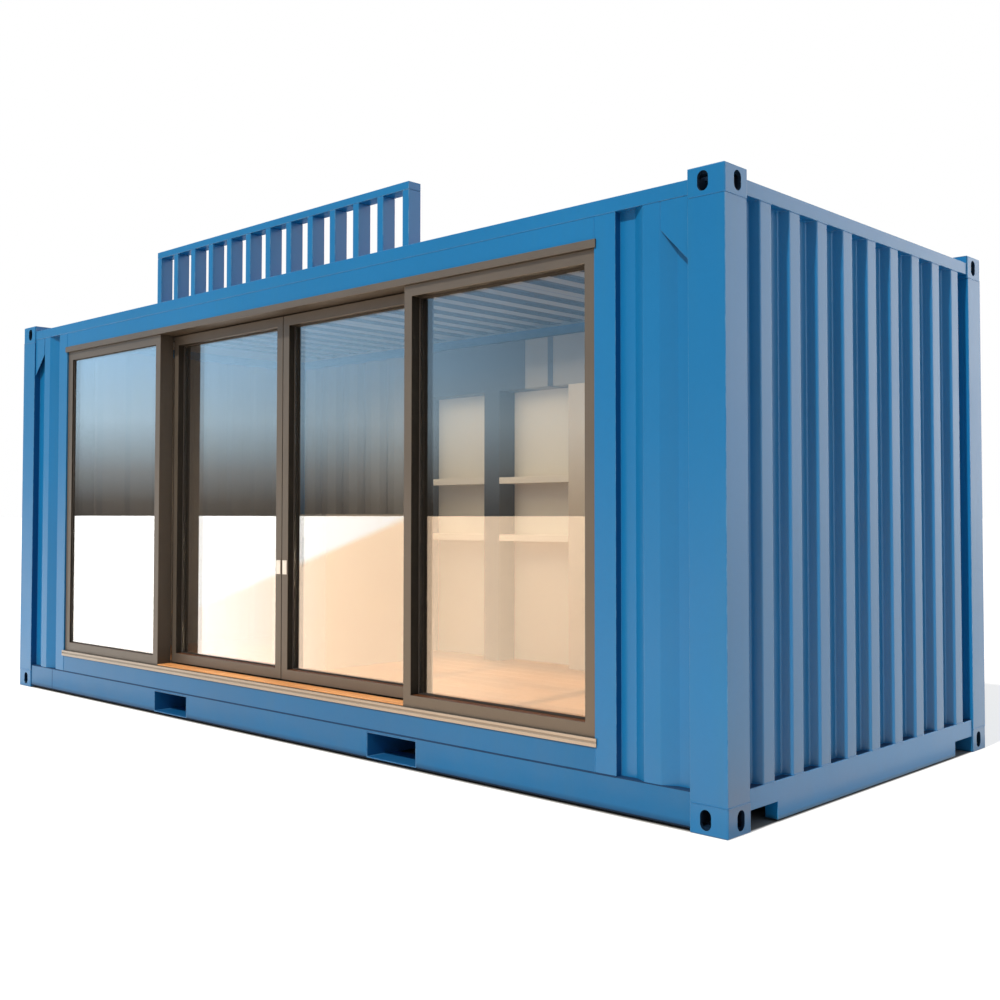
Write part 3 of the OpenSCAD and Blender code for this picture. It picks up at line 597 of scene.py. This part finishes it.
def pressedSheetTree():
    tree, ask, end = newTree("pressedSheet", {"Height": 2.0, "Bend Radius": 0.012, **sheetSetup}, ("Outside", "Inside"))
    path = step(tree, "MeshToCurve", {"Mesh": ask["Geometry"]})
    bends = step(tree, "FilletCurve", {
        "Curve": path, "Radius": ask["Bend Radius"], "Count": ask["Bend Steps"], "Limit Radius": True}, mode="POLY")
    top = vectorOf(tree, Z=ask["Height"])
    flat = step(tree, "CurveToMesh", {"Curve": bends})
    raised = step(tree, "ExtrudeMesh", {"Mesh": flat, "Offset": top}, mode="EDGES")
    outside = step(tree, "SetMaterial", {"Geometry": raised, "Material": ask["Outside"]})
    back = times(tree, ask["Thickness"], -1.0)
    thick = step(tree, "ExtrudeMesh", {"Mesh": raised, "Offset Scale": back, "Individual": False}, mode="FACES")
    turned = step(tree, "FlipFaces", {"Mesh": thick})
    inside = step(tree, "SetMaterial", {"Geometry": turned, "Material": ask["Inside"]})
    both = step(tree, "JoinGeometry")
    tree.links.new(inside.outputs[0], both.inputs[0])
    tree.links.new(outside.outputs[0], both.inputs[0])
    closed = step(tree, "MergeByDistance", {"Geometry": both, "Distance": 0.00002})
    real = step(tree, "RealizeInstances", {"Geometry": closed})
    tree.links.new(real.outputs[0], end)
    return tree


# folded path of a sheet seen from above, crests on the zero line and valleys behind it
def wavePath(low, high, wave):
    count = 1 + int((high - low - wave["crest"] - 2 * wave["slope"]) // wave["pitch"])
    half, slope, valley = wave["crest"] / 2, wave["slope"], -wave["depth"]
    points = [(low, valley)]
    for index in range(count):
        middle = (low + high) / 2 + (index - (count - 1) / 2) * wave["pitch"]
        points += [(middle - half - slope, valley), (middle - half, 0.0),
                   (middle + half, 0.0), (middle + half + slope, valley)]
    return points + [(high, valley)]


def sheetLine(node, level, wave, along, outwards):
    low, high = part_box(node)
    face = high[1 - along] if outwards > 0 else low[1 - along]
    spots = [(u, face + outwards * v) for u, v in wavePath(low[along], high[along], wave)]
    return [(u, w, level) if along == 0 else (w, u, level) for u, w in spots]


def sharpen(mesh, degrees):
    work = bmesh.new()
    work.from_mesh(mesh)
    for edge in work.edges:
        edge.smooth = not (len(edge.link_faces) == 2 and edge.calc_face_angle() > math.radians(degrees))
    work.to_mesh(mesh)
    work.free()


def pathPiece(name, paths):
    spots, edges = [], []
    for path in paths:
        first = len(spots)
        spots += path
        edges += [(first + i, first + i + 1) for i in range(len(path) - 1)]
    mesh = bpy.data.meshes.new(name)
    mesh.from_pydata(spots, edges, [])
    return linked(name, mesh)


def pressedSheet(node, tree, wave, along, outwards):
    low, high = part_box(node)
    line = sheetLine(node, low[2], wave, along, outwards)
    if (along == 0) != (outwards > 0):
        line.reverse()
    piece = pathPiece(node + "_pressed", [line])
    runTree(piece, tree, {
        **sheetSetup, "Height": high[2] - low[2], "Bend Radius": wave["bend"], "Outside": containerPaint,
        "Inside": insidePaint})
    baked(piece)
    smoothFaces(piece.data)
    sharpen(piece.data, sheetSharp)
    flatShading(piece)
    return finishPiece(piece, bodyOf[node], slotOf[node], node)


sheetTree = pressedSheetTree()
for node, row in sheetRows.items():
    pressedSheet(node, sheetTree, *row)
print("pressed sheets done")


# door frame and panels: sides of the bars painted darker than their faces as shade, the reveals round the glass darkest
# as painted shade and their upward faces painted with the warm reflection of the floor
barSetup = {
    "darkStile": 1.103,  # outer stile of a door from here on takes the darkest bronze
    "reveal": 0.03, "lipBack": -1.2105,
}
for node, width in {"door_head": 0.0015, "door_jambs": 0.0012}.items():
    softenNode(node, node + "_bar", width, [bronzeBar, bronzeSideShade], lambda normal, spot: int(abs(normal.y) < 0.3))
for node in ("left_fixed_frame", "right_fixed_frame", "left_door_frame", "right_door_frame"):
    low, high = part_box(node)
    darkStile = barSetup["darkStile"] if "door" in node else math.inf

    def barTone(normal, spot):
        if abs(spot.x) > darkStile:
            return 2
        if abs(normal.y) > 0.3:
            return 0
        edge = barSetup["reveal"]
        if low[0] + edge < spot.x < high[0] - edge and low[2] + edge < spot.z < high[2] - edge:
            return 3 if normal.z > 0.5 else 2
        return 1

    softenNode(node, node + "_bar", 0.0018, [bronzeBar, bronzeSideShade, bronzeShade, bronzeRevealReflection], barTone)
softenNode("door_sill", "door_sill_bar", 0.0015, [sillBar, bronzeBar],
           lambda normal, spot: int(spot.y > barSetup["lipBack"]),
           cuts=(sillLeft + sillGroove["endGap"], sillRight - sillGroove["endGap"]), groove=sillGroove)
softenNode("threshold_board", "threshold_board_oiled", 0.002, [thresholdTimber])


def addBox(work, low, high):
    corners = [work.verts.new(spot) for spot in itertools.product(*zip(low, high))]
    for quad in ((0, 1, 3, 2), (4, 6, 7, 5), (0, 4, 5, 1), (2, 3, 7, 6), (0, 2, 6, 4), (1, 5, 7, 3)):
        work.faces.new([corners[i] for i in quad])


def boxPiece(name, boxes, material, width=0.0):
    work = bmesh.new()
    for low, high in boxes:
        addBox(work, low, high)
    bmesh.ops.recalc_face_normals(work, faces=work.faces[:])
    if width:
        bevelled(work, work.edges[:], width)
    for face in work.faces:
        face.smooth = width > 0
    mesh = meshFrom(work, name)
    mesh.materials.append(material)
    piece = linked(name, mesh)
    return flatShading(piece) if width else piece


panelSetup = {
    "stile": 0.054, "rail": 0.057, "bite": 0.014, "unit": 0.024, "pane": 0.006, "seal": 0.006, "sealOut": 0.004,
    "setback": {"left_fixed_frame": 0.014, "right_fixed_frame": 0.054,
                "left_door_frame": 0.040, "right_door_frame": 0.040},
}


def paneBoxes(low, high, front, setup):
    across, up = setup["stile"] - setup["bite"], setup["rail"] - setup["bite"]
    return [((low[0] + across, start, low[2] + up), (high[0] - across, start + setup["pane"], high[2] - up))
            for start in (front, front + setup["unit"] - setup["pane"])]


def sealRing(low, high, front, back, setup):
    left, right = low[0] + setup["stile"], high[0] - setup["stile"]
    bottom, top = low[2] + setup["rail"], high[2] - setup["rail"]
    thick = setup["seal"]
    return [((left, front, bottom), (left + thick, back, top)), ((right - thick, front, bottom), (right, back, top)),
            ((left + thick, front, bottom), (right - thick, back, bottom + thick)),
            ((left + thick, front, top - thick), (right - thick, back, top))]


def glazePanels(frames, body, paneName, sealName, glassNode):
    panes, seals = [], []
    for node in frames:
        low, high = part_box(node)
        front = low[1] + panelSetup["setback"][node]
        back, out = front + panelSetup["unit"], panelSetup["sealOut"]
        panes += paneBoxes(low, high, front, panelSetup)
        seals += sealRing(low, high, front - out, front, panelSetup) + sealRing(low, high, back, back + out, panelSetup)
    finishPiece(boxPiece(paneName, panes, coatedGlass), body, "glass", glassNode)
    finishPiece(boxPiece(sealName, seals, sealRubber, 0.001), body, "roller_plastic")


glazePanels(["left_fixed_frame", "right_fixed_frame"], "container", "fixed_panes", "fixed_glass_seals", "fixed_glass")
for door in ("left_door", "right_door"):
    glazePanels([door + "_frame"], door, door + "_panes", door + "_seals", door + "_glass")
for door in ("left_door", "right_door"):
    softenNode(door + "_handle", door + "_pull", 0.0008, [handleBlack])
    softenNode(door + "_lock", door + "_lock_plates", 0.0006, [lockSteel])
    softenNode(door + "_rollers", door + "_wheels", 0.0006, [rollerPlastic])
print("glazed front done")


# counter and display
fittingSetup = {"lastPost": 0.30, "valanceEnd": -0.08, "boxEdge": (0.13, 0.18)}
softenNode("counter", "counter_boards", 0.002, [counterSide, counterFrontShade], lambda normal, spot: int(normal.y < -0.5))
softenNode("display_posts", "display_post_boards", 0.002, [displayBoard, counterSide],
           lambda normal, spot: int(spot.x > fittingSetup["lastPost"]))
boxStart, boxEnd = fittingSetup["boxEdge"]
softenNode("display_valance", "display_valance_board", 0.002, [displayBoard, greyBoard],
           lambda normal, spot: int(spot.x > fittingSetup["valanceEnd"] and not boxStart < spot.x < boxEnd),
           cuts=(fittingSetup["valanceEnd"], boxStart, boxEnd))
softenNode("display_back", "display_back_board", 0.001, [whiteBoard])
softenNode("display_shelves", "display_shelf_boards", 0.0015, [whiteBoard])
nodes["floor_deck"].data.materials.clear()
nodes["floor_deck"].data.materials.append(deckPly)
print("shop fittings done")


# floor boards: grooves between boards and at their ends, one tone for each board
plankSetup = {
    "Board Width": 0.137, "Board Length": 1.9, "Groove": 0.004, "Depth": 0.004, "Groove Length": 8.0,
    "Rows": 17, "Seed": 4, "Low Y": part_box("floor_boards")[0][1], "Top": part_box("floor_boards")[1][2],
}


def randomStep(tree, low, high, number, seed):
    node = tree.nodes.new("FunctionNodeRandomValue")
    node.data_type = "FLOAT"
    sockets = [socket for socket in node.inputs if socket.enabled]
    for socket, value in zip(sockets, (low, high, number, seed)):
        feed(tree, socket, value)
    return next(socket for socket in node.outputs if socket.enabled)


def plankTree(setup):
    tree, ask, end = newTree("floorPlanks", setup, ("Timber",))
    width, length, low, rows = ask["Board Width"], ask["Board Length"], ask["Low Y"], ask["Rows"]
    spot = tree.nodes.new("GeometryNodeInputPosition").outputs[0]
    row = maths(tree, "FLOOR", maths(tree, "DIVIDE", maths(tree, "SUBTRACT", axisOf(tree, spot, 1), low), width))
    shift = randomStep(tree, 0.0, length, row, ask["Seed"])
    deep = times(tree, ask["Depth"], 2.0)
    fewer = maths(tree, "SUBTRACT", rows, 1.0)
    # long grooves
    start = vectorOf(tree, Y=maths(tree, "ADD", low, width), Z=ask["Top"])
    aside = vectorOf(tree, Y=width)
    seams = step(tree, "MeshLine", {"Count": fewer, "Start Location": start, "Offset": aside})
    longSize = vectorOf(tree, X=ask["Groove Length"], Y=ask["Groove"], Z=deep)
    longCut = step(tree, "MeshCube", {"Size": longSize})
    longCuts = step(tree, "InstanceOnPoints", {"Points": seams, "Instance": longCut})
    # board ends, five in a row and shifted from row to row
    field = step(tree, "MeshGrid", {
        "Size X": times(tree, length, 4.0), "Size Y": times(tree, width, fewer),
        "Vertices X": 5, "Vertices Y": rows})
    middle = maths(tree, "ADD", low, times(tree, width, times(tree, rows, 0.5)))
    onTop = vectorOf(tree, Y=middle, Z=ask["Top"])
    placed = step(tree, "SetPosition", {"Geometry": field, "Offset": onTop})
    along = vectorOf(tree, X=times(tree, shift, -1.0))
    ends = step(tree, "SetPosition", {"Geometry": placed, "Offset": along})
    endSize = vectorOf(tree, X=ask["Groove"], Y=width, Z=deep)
    endCut = step(tree, "MeshCube", {"Size": endSize})
    endCuts = step(tree, "InstanceOnPoints", {"Points": ends, "Instance": endCut})
    cut = step(tree, "MeshBoolean", {"Mesh 1": ask["Geometry"]}, operation="DIFFERENCE", solver="EXACT")
    tree.links.new(longCuts.outputs[0], cut.inputs["Mesh 2"])
    tree.links.new(endCuts.outputs[0], cut.inputs["Mesh 2"])
    board = maths(tree, "FLOOR", maths(tree, "DIVIDE", maths(tree, "ADD", axisOf(tree, spot, 0), shift), length))
    number = maths(tree, "ADD", times(tree, row, 61.0), board)
    tone = randomStep(tree, 0.0, 1.0, number, ask["Seed"])
    toneStore = step(tree, "StoreNamedAttribute", {"Geometry": cut, "Value": tone}, data_type="FLOAT", domain="FACE")
    toneStore.inputs["Name"].default_value = "boardTone"
    return endTree(tree, toneStore, ask["Timber"], end)


def layPlanks(setup):
    piece = linked("floor_planks", meshFrom(mergedWork("floor_boards"), "floor_planks"))
    runTree(piece, plankTree(setup), {**setup, "Timber": floorTimber})
    finishPiece(baked(piece), "container", "floor_timber", "floor_boards")


layPlanks(plankSetup)
print("floor boards laid")


# weld beads along the joints, with a ripple from the torch
weldSetup = {"Radius": 0.0032, "Ripple": 0.016, "Swell": 0.16, "Sides": 6}
groundWelds = dict(weldSetup, Radius=0.0021)  # smoothed on the front
weldPlaces = {"roofSeam": 0.893, "castingLong": 0.17, "sunk": 0.0005}


def weldTree():
    tree, ask, end = newTree("weldBeads", weldSetup, ("Paint",))
    path = step(tree, "MeshToCurve", {"Mesh": ask["Geometry"]})
    spacing = maths(tree, "DIVIDE", ask["Ripple"], 3.0)
    spaced = step(tree, "ResampleCurve", {"Curve": path, "Length": spacing}, mode="LENGTH")
    run = tree.nodes.new("GeometryNodeSplineParameter")
    turns = times(tree, maths(tree, "DIVIDE", run.outputs["Length"], ask["Ripple"]), 2 * math.pi)
    swell = maths(tree, "ADD", times(tree, maths(tree, "SINE", turns), ask["Swell"]), 1.0)
    ring = step(tree, "CurvePrimitiveCircle", {"Resolution": ask["Sides"], "Radius": ask["Radius"]})
    sized = step(tree, "SetCurveRadius", {"Curve": spaced, "Radius": swell})
    bead = step(tree, "CurveToMesh", {"Curve": sized, "Profile Curve": ring, "Fill Caps": True})
    if "Scale" in bead.inputs:
        tree.links.new(tree.nodes.new("GeometryNodeInputRadius").outputs[0], bead.inputs["Scale"])
    return endTree(tree, bead, ask["Paint"], end)


def weldPiece(name, tree, paths, setup):
    piece = pathPiece(name, paths)
    runTree(piece, tree, {**setup, "Paint": containerPaint})
    baked(piece)
    smoothFaces(piece.data)
    return finishPiece(piece, "container", "blue_paint")


def surroundWelds(setup):
    headLow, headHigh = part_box("header_beam")
    beamLow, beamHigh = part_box("sill_beam")
    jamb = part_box("jamb_posts")[1][0]
    stripLow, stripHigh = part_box("front_right_panel")
    face = headLow[1]
    valley = stripLow[1] + sideWave["depth"] - setup["sunk"]
    lines = [[(-jamb, face, headHigh[2]), (jamb, face, headHigh[2])]]
    for side in (-1, 1):
        inner = side * headHigh[0]
        for low, high in ((headLow, headHigh), (beamLow, beamHigh)):
            lines.append([(inner, face, low[2]), (inner, face, high[2])])
        for edge in (stripLow[0], stripHigh[0]):
            lines.append([(side * edge, valley, stripLow[2]), (side * edge, valley, stripHigh[2])])
    return lines


def castingWelds(setup):
    lines = []
    for node in ("front_posts", "back_posts"):
        low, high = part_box(node)
        out, inn = (low[1], high[1]) if node == "front_posts" else (high[1], low[1])
        for side in (-1, 1):
            start, corner = side * (high[0] - setup["castingLong"]), side * high[0]
            for level in (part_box("bottom_castings")[1][2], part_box("top_castings")[0][2]):
                lines.append([(start, out, level), (corner, out, level), (corner, inn, level)])
    return lines


def sheetWelds(node):
    low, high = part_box(node)
    return [sheetLine(node, level, *sheetRows[node]) for level in (low[2], high[2])]


# the three roof sheets meet on wider flats between the ridges
def roofWelds(setup):
    low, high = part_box("roof")
    return [[(side * setup["roofSeam"], y, sheetTop) for y in (low[1], high[1])] for side in (-1, 1)]


beadTree = weldTree()
weldPiece("front_weld_beads", beadTree, surroundWelds(weldPlaces) + castingWelds(weldPlaces), groundWelds)
wallWelds = sheetWelds("right_wall") + sheetWelds("left_wall") + sheetWelds("back_wall")
weldPiece("wall_weld_beads", beadTree, wallWelds + roofWelds(weldPlaces), weldSetup)
print("welds done")


# painted shade as dark strips in the seam over the bottom rail and on the ledges at the foot of the end walls, and a
# dark line in the rail's butt joint
seamSetup = {
    "high": 0.008, "proud": 0.0004, "thick": 0.006, "deep": 0.036, "under": 0.003, "over": 0.002,
    "joint": -2.53, "jointWide": 0.007, "jointGap": 0.004, "ledge": 0.0012, "ledgeSunk": 0.002, "ledgeOut": 3.0195,
}


def paintSeamShade(setup):
    (left, railFront, railLow), (right, _, seam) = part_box("front_bottom_rail")
    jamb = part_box("jamb_posts")[1][0]
    front = railFront - setup["proud"]
    back, half = front + setup["thick"], setup["high"] / 2
    boxes = [((-jamb, front, seam - half), (jamb, back, seam + half))]
    for start, end in ((left, -jamb), (jamb, right)):
        boxes.append(((start, front, seam - setup["under"]), (end, railFront + setup["deep"], seam + setup["over"])))
    joint, half = setup["joint"], setup["jointWide"] / 2
    boxes.append(((joint - half, front, railLow + railFold["radius"]), (joint + half, back, seam - setup["jointGap"])))
    finishPiece(boxPiece("rail_seam_shade_and_joint", boxes, darkJointAndShade, 0.001), "container", "blue_paint")
    ledges = []
    for node, side in (("right_wall", 1), ("left_wall", -1)):
        low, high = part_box(node)
        inner = (high[0] if side > 0 else -low[0]) - endWave["depth"]
        start, end = sorted((side * inner, side * setup["ledgeOut"]))
        ledges.append(((start, low[1], low[2] - setup["ledgeSunk"]), (end, high[1], low[2] + setup["ledge"])))
    finishPiece(boxPiece("ledge_painted_shade", ledges, darkJointAndShade), "container", "blue_paint")


paintSeamShade(seamSetup)
print("seam sealed")


# sunk screw heads with a socket
screwSetup = {"Radius": 0.0042, "Height": 0.0018, "Socket Width": 0.48, "Socket Depth": 0.7}
screwPlaces = {"spacing": 0.35, "edgeInset": 0.016, "plateInset": 0.008}


def screwTree():
    tree, ask, end = newTree("screwHeads", {**screwSetup, "Turn": 0.0}, ("Metal",))
    head = step(tree, "MeshCylinder", {"Radius": ask["Radius"], "Depth": ask["Height"], "Vertices": 12})
    rim = step(tree, "ExtrudeMesh", {
        "Mesh": head.outputs["Mesh"], "Selection": head.outputs["Top"], "Offset Scale": 0.0}, mode="FACES")
    narrowed = step(tree, "ScaleElements", {
        "Geometry": rim.outputs["Mesh"], "Selection": rim.outputs["Top"], "Scale": ask["Socket Width"]})
    down = times(tree, ask["Height"], times(tree, ask["Socket Depth"], -1.0))
    socket = step(tree, "ExtrudeMesh", {
        "Mesh": narrowed, "Selection": rim.outputs["Top"], "Offset Scale": down}, mode="FACES")
    facing = vectorOf(tree, X=ask["Turn"])
    placed = step(tree, "InstanceOnPoints", {
        "Points": ask["Geometry"], "Instance": socket.outputs["Mesh"], "Rotation": facing})
    return endTree(tree, placed, ask["Metal"], end)


def screwPiece(name, tree, spots, turn, body):
    mesh = bpy.data.meshes.new(name)
    mesh.from_pydata(spots, [], [])
    piece = linked(name, mesh)
    runTree(piece, tree, {**screwSetup, "Turn": math.radians(turn), "Metal": lockSteel})
    return finishPiece(baked(piece), body, "lock_metal")


def thresholdScrews(setup):
    low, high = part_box("threshold_board")
    spacing, inset = setup["spacing"], setup["edgeInset"]
    count = int((high[0] - low[0]) // spacing)
    start = -(count - 1) / 2 * spacing
    return [(start + i * spacing, y, high[2]) for i in range(count) for y in (low[1] + inset, high[1] - inset)]


def lockScrews(side, setup):
    low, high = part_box(side + "_door_lock")
    middle = (low[0] + high[0]) / 2
    return [(middle, low[1], z) for z in (low[2] + setup["plateInset"], high[2] - setup["plateInset"])]


headTree = screwTree()
screwPiece("threshold_screws", headTree, thresholdScrews(screwPlaces), 0, "container")
for side in ("left", "right"):
    screwPiece(side + "_lock_screws", headTree, lockScrews(side, screwPlaces), 90, side + "_door")
print("screws done")


# brush strip on the left door that closes the slit between the doors
brushSetup = {"low": (-0.003, -1.074, 0.325), "high": (0.0015, -1.030, 2.336)}
brush = boxPiece("meeting_brush", [(brushSetup["low"], brushSetup["high"])], sealRubber, 0.0006)
finishPiece(brush, "left_door", "roller_plastic")
print("brush strip done")


# floor, cards for the reflections, light
stageSetup = {
    "floorReach": 420.0, "floorColour": (0.60, 0.59, 0.575), "floorGrain": 0.985, "floorLift": 0.66,
    "footprint": (3.03, 1.222), "footFade": 0.02, "footprintShadow": (0.33, 0.32, 0.31),  # painted contact shadow: floor left dark under the cabin
    "sunFrom": (0.065, -0.95, 1.0), "sunPower": 2.75, "sunColour": (1.0, 0.945, 0.86), "sunAngle": 2.0,
    "skyPower": 0.36, "skyColour": (0.90, 0.95, 1.0),
    "cardReach": 400.0, "cardHigh": 170.0, "cardSides": 48, "frontSweep": (-205, 185), "sideSweep": (-20, 175),
    "skyFall": (-356.0, -315.0, 1.05, 0.92),  # front card is brighter to the left
    "sideGlow": (3.2, 3.2, 3.25), "groundGlow": (2.3, 2.25, 2.15), "warmGround": (2.15, 1.54, 1.04),
    "warmFrom": -138.14, "warmTo": -20.0, "warmApex": (0.0, 1.83),  # degrees round a point behind the cabin's middle
    "warmEdge": 0.008, "warmFade": 0.3,  # radians
    "fadeFrom": -152.0, "fadeTo": -142.3, "fadeApex": (5.55, 2.96), "fadePower": 1.3,  # warm tone thins out to the left
    "lightGround": (2.85, 2.08, 1.42), "lightFrom": -140.0, "lightTo": -134.0,  # and gets lighter to the right
    "groundRise": 1.05,  # far edge, lifts the mirrored horizon
    "groundHole": (3.14, 1.5), "groundLow": 0.003,
    "roomPlace": (0.45, 0.10, 2.30), "roomSize": (4.6, 1.3), "roomPower": 34.5, "roomColour": (1.0, 0.80, 0.56),
    "shelfPlace": (-0.30, -0.20, 1.95), "shelfAim": (-0.40, 1.155, 1.60), "shelfSize": (1.9, 0.5), "shelfPower": 2.8,
    "shelfColour": (1.0, 0.97, 0.94),
}
# front card, from the horizon up: dark haze, pale band, blue
cardStops = [
    (0.0, (0.09, 0.078, 0.066)), (0.03, (0.12, 0.11, 0.10)), (0.09, (0.29, 0.32, 0.33)), (0.19, (0.585, 0.79, 0.93)),
    (0.30, (0.515, 0.80, 1.06)), (0.45, (0.36, 0.60, 0.86)), (1.0, (0.34, 0.56, 0.82)),
]


# one for rays from the camera, from gloss and through glass
def shownRays(tree):
    path = tree.nodes.new("ShaderNodeLightPath")
    return maths(tree, "MAXIMUM", path.outputs["Is Camera Ray"],
                 maths(tree, "MAXIMUM", path.outputs["Is Glossy Ray"], path.outputs["Is Transmission Ray"]))


def levelSquare(long, wide, level):
    return [(x * long, y * wide, level) for x, y in ((-1, -1), (1, -1), (1, 1), (-1, 1))]


def makeFloor(setup):
    mesh = bpy.data.meshes.new("studioFloor")
    mesh.from_pydata(levelSquare(setup["floorReach"], setup["floorReach"], 0), [], [(0, 1, 2, 3)])
    material, tree, surface = startMaterial("studioFloor")
    place, pale = objectPlace(tree), setup["floorColour"]
    outside = None
    for axis, half in enumerate(setup["footprint"]):
        distance = maths(tree, "ABSOLUTE", axisOf(tree, place, axis))
        away = ranged(tree, distance, half - setup["footFade"], half, 0.0, 1.0)
        outside = away if outside is None else maths(tree, "MAXIMUM", outside, away)
    sheet = mixed(tree, noiseOn(tree, place, 30.0, 4.0), tuple(c * setup["floorGrain"] for c in pale), pale)
    lift = times(tree, times(tree, shownRays(tree), outside), setup["floorLift"])
    # under the cabin the floor takes the darker colour, a painted contact shadow, and gets no lift
    feedAll(tree, surface, {
        "Base Color": mixed(tree, outside, setup["footprintShadow"], sheet), "Roughness": 0.9, "Specular IOR Level": 0.0,
        "Emission Color": (1.0, 1.0, 1.0), "Emission Strength": lift})
    mesh.materials.append(material)
    linked("studioFloor", mesh)


# a card shows in gloss and glass only
def stageCard(name, mesh, material):
    mesh.materials.append(material)
    card = linked(name, mesh)
    card.visible_camera = False
    card.visible_diffuse = False
    card.visible_shadow = False


def roundCard(name, setup, start, sweep):
    reach, sides = setup["cardReach"], setup["cardSides"]
    spots = []
    for index in range(sides + 1):
        angle = math.radians(start + sweep * index / sides)
        spots += [(reach * math.cos(angle), reach * math.sin(angle), level) for level in (0, setup["cardHigh"])]
    mesh = bpy.data.meshes.new(name)
    mesh.from_pydata(spots, [], [(2 * i, 2 * i + 2, 2 * i + 3, 2 * i + 1) for i in range(sides)])
    return mesh


def makeCards(setup):
    material, tree, glow = startMaterial("frontCard", "ShaderNodeEmission")
    place = objectPlace(tree)
    ramp = tree.nodes.new("ShaderNodeValToRGB")
    while len(ramp.color_ramp.elements) < len(cardStops):
        ramp.color_ramp.elements.new(0.5)
    for element, (spot, colour) in zip(ramp.color_ramp.elements, cardStops):
        element.position = spot
        element.color = (*colour, 1.0)
    feed(tree, ramp.inputs[0], ranged(tree, axisOf(tree, place, 2), 0.0, setup["cardHigh"], 0.0, 1.0))
    feed(tree, glow.inputs[0], ramp.outputs[0])
    feed(tree, glow.inputs[1], ranged(tree, axisOf(tree, place, 0), *setup["skyFall"]))
    stageCard("frontCard", roundCard("frontCard", setup, *setup["frontSweep"]), material)
    material, tree, glow = startMaterial("sideCard", "ShaderNodeEmission")
    feed(tree, glow.inputs[0], setup["sideGlow"])
    stageCard("sideCard", roundCard("sideCard", setup, *setup["sideSweep"]), material)


def turnRound(tree, place, apex):
    away = [maths(tree, "SUBTRACT", axisOf(tree, place, axis), apex[axis]) for axis in (0, 1)]
    return maths(tree, "ARCTAN2", away[1], away[0])


# pale ground round the cabin, left open under it
def makeGround(setup):
    material, tree, glow = startMaterial("groundCard", "ShaderNodeEmission")
    place = objectPlace(tree)
    turn, fade = [turnRound(tree, place, setup[name]) for name in ("warmApex", "fadeApex")]
    start, end, edge = math.radians(setup["warmFrom"]), math.radians(setup["warmTo"]), setup["warmEdge"]
    warm = times(tree, ranged(tree, turn, start - edge, start + edge, 0.0, 1.0),
                 ranged(tree, turn, end - setup["warmFade"], end, 1.0, 0.0))
    thinned, lighter = [
        ranged(tree, fade, math.radians(setup[name + "From"]), math.radians(setup[name + "To"]), 0.0, 1.0)
        for name in ("fade", "light")]
    warm = times(tree, warm, maths(tree, "POWER", thinned, setup["fadePower"]))
    tone = mixed(tree, lighter, setup["warmGround"], setup["lightGround"])
    feed(tree, glow.inputs[0], mixed(tree, warm, setup["groundGlow"], tone))
    reach = setup["cardReach"]
    spots = levelSquare(reach, reach, setup["groundRise"]) + levelSquare(*setup["groundHole"], setup["groundLow"])
    mesh = bpy.data.meshes.new("groundCard")
    mesh.from_pydata(spots, [], [(i, (i + 1) % 4, 4 + (i + 1) % 4, 4 + i) for i in range(4)])
    stageCard("groundCard", mesh, material)


def lampObject(name, lamp, aim=None):
    item = bpy.data.objects.new(name, lamp)
    if aim is not None:
        item.rotation_mode = "QUATERNION"
        item.rotation_quaternion = aim.to_track_quat("-Z", "Y")
    scene.collection.objects.link(item)
    return item


def makeLight(setup):
    lamp = bpy.data.lights.new("keyLamp", "SUN")
    lamp.energy, lamp.color, lamp.angle = setup["sunPower"], setup["sunColour"], math.radians(setup["sunAngle"])
    lampObject("keyLamp", lamp, -Vector(setup["sunFrom"]))
    # warm lamp under the ceiling and a paler one over the shelves, not seen themselves
    aims = {"room": None, "shelf": Vector(setup["shelfAim"]) - Vector(setup["shelfPlace"])}
    for name, aim in aims.items():
        lamp = bpy.data.lights.new(name + "Lamp", "AREA")
        lamp.shape = "RECTANGLE"
        lamp.size, lamp.size_y = setup[name + "Size"]
        lamp.energy, lamp.color = setup[name + "Power"], setup[name + "Colour"]
        inside = lampObject(name + "Lamp", lamp, aim)
        inside.location = setup[name + "Place"]
        inside.visible_camera = False
        inside.visible_glossy = False
        inside.visible_transmission = False


def makeSky(setup):
    world = bpy.data.worlds.new("studioSky")
    world.use_nodes = True
    scene.world = world
    tree = world.node_tree
    tree.nodes.clear()
    output = tree.nodes.new("ShaderNodeOutputWorld")
    soft = tree.nodes.new("ShaderNodeBackground")
    feedAll(tree, soft, {"Color": setup["skyColour"], "Strength": setup["skyPower"]})
    seen = tree.nodes.new("ShaderNodeBackground")
    feed(tree, seen.inputs["Color"], (1.0, 1.0, 1.0))
    tree.links.new(mixedShader(tree, shownRays(tree), soft.outputs[0], seen.outputs[0]), output.inputs[0])


makeFloor(stageSetup)
makeCards(stageSetup)
makeGround(stageSetup)
makeLight(stageSetup)
makeSky(stageSetup)
print("stage and light done")
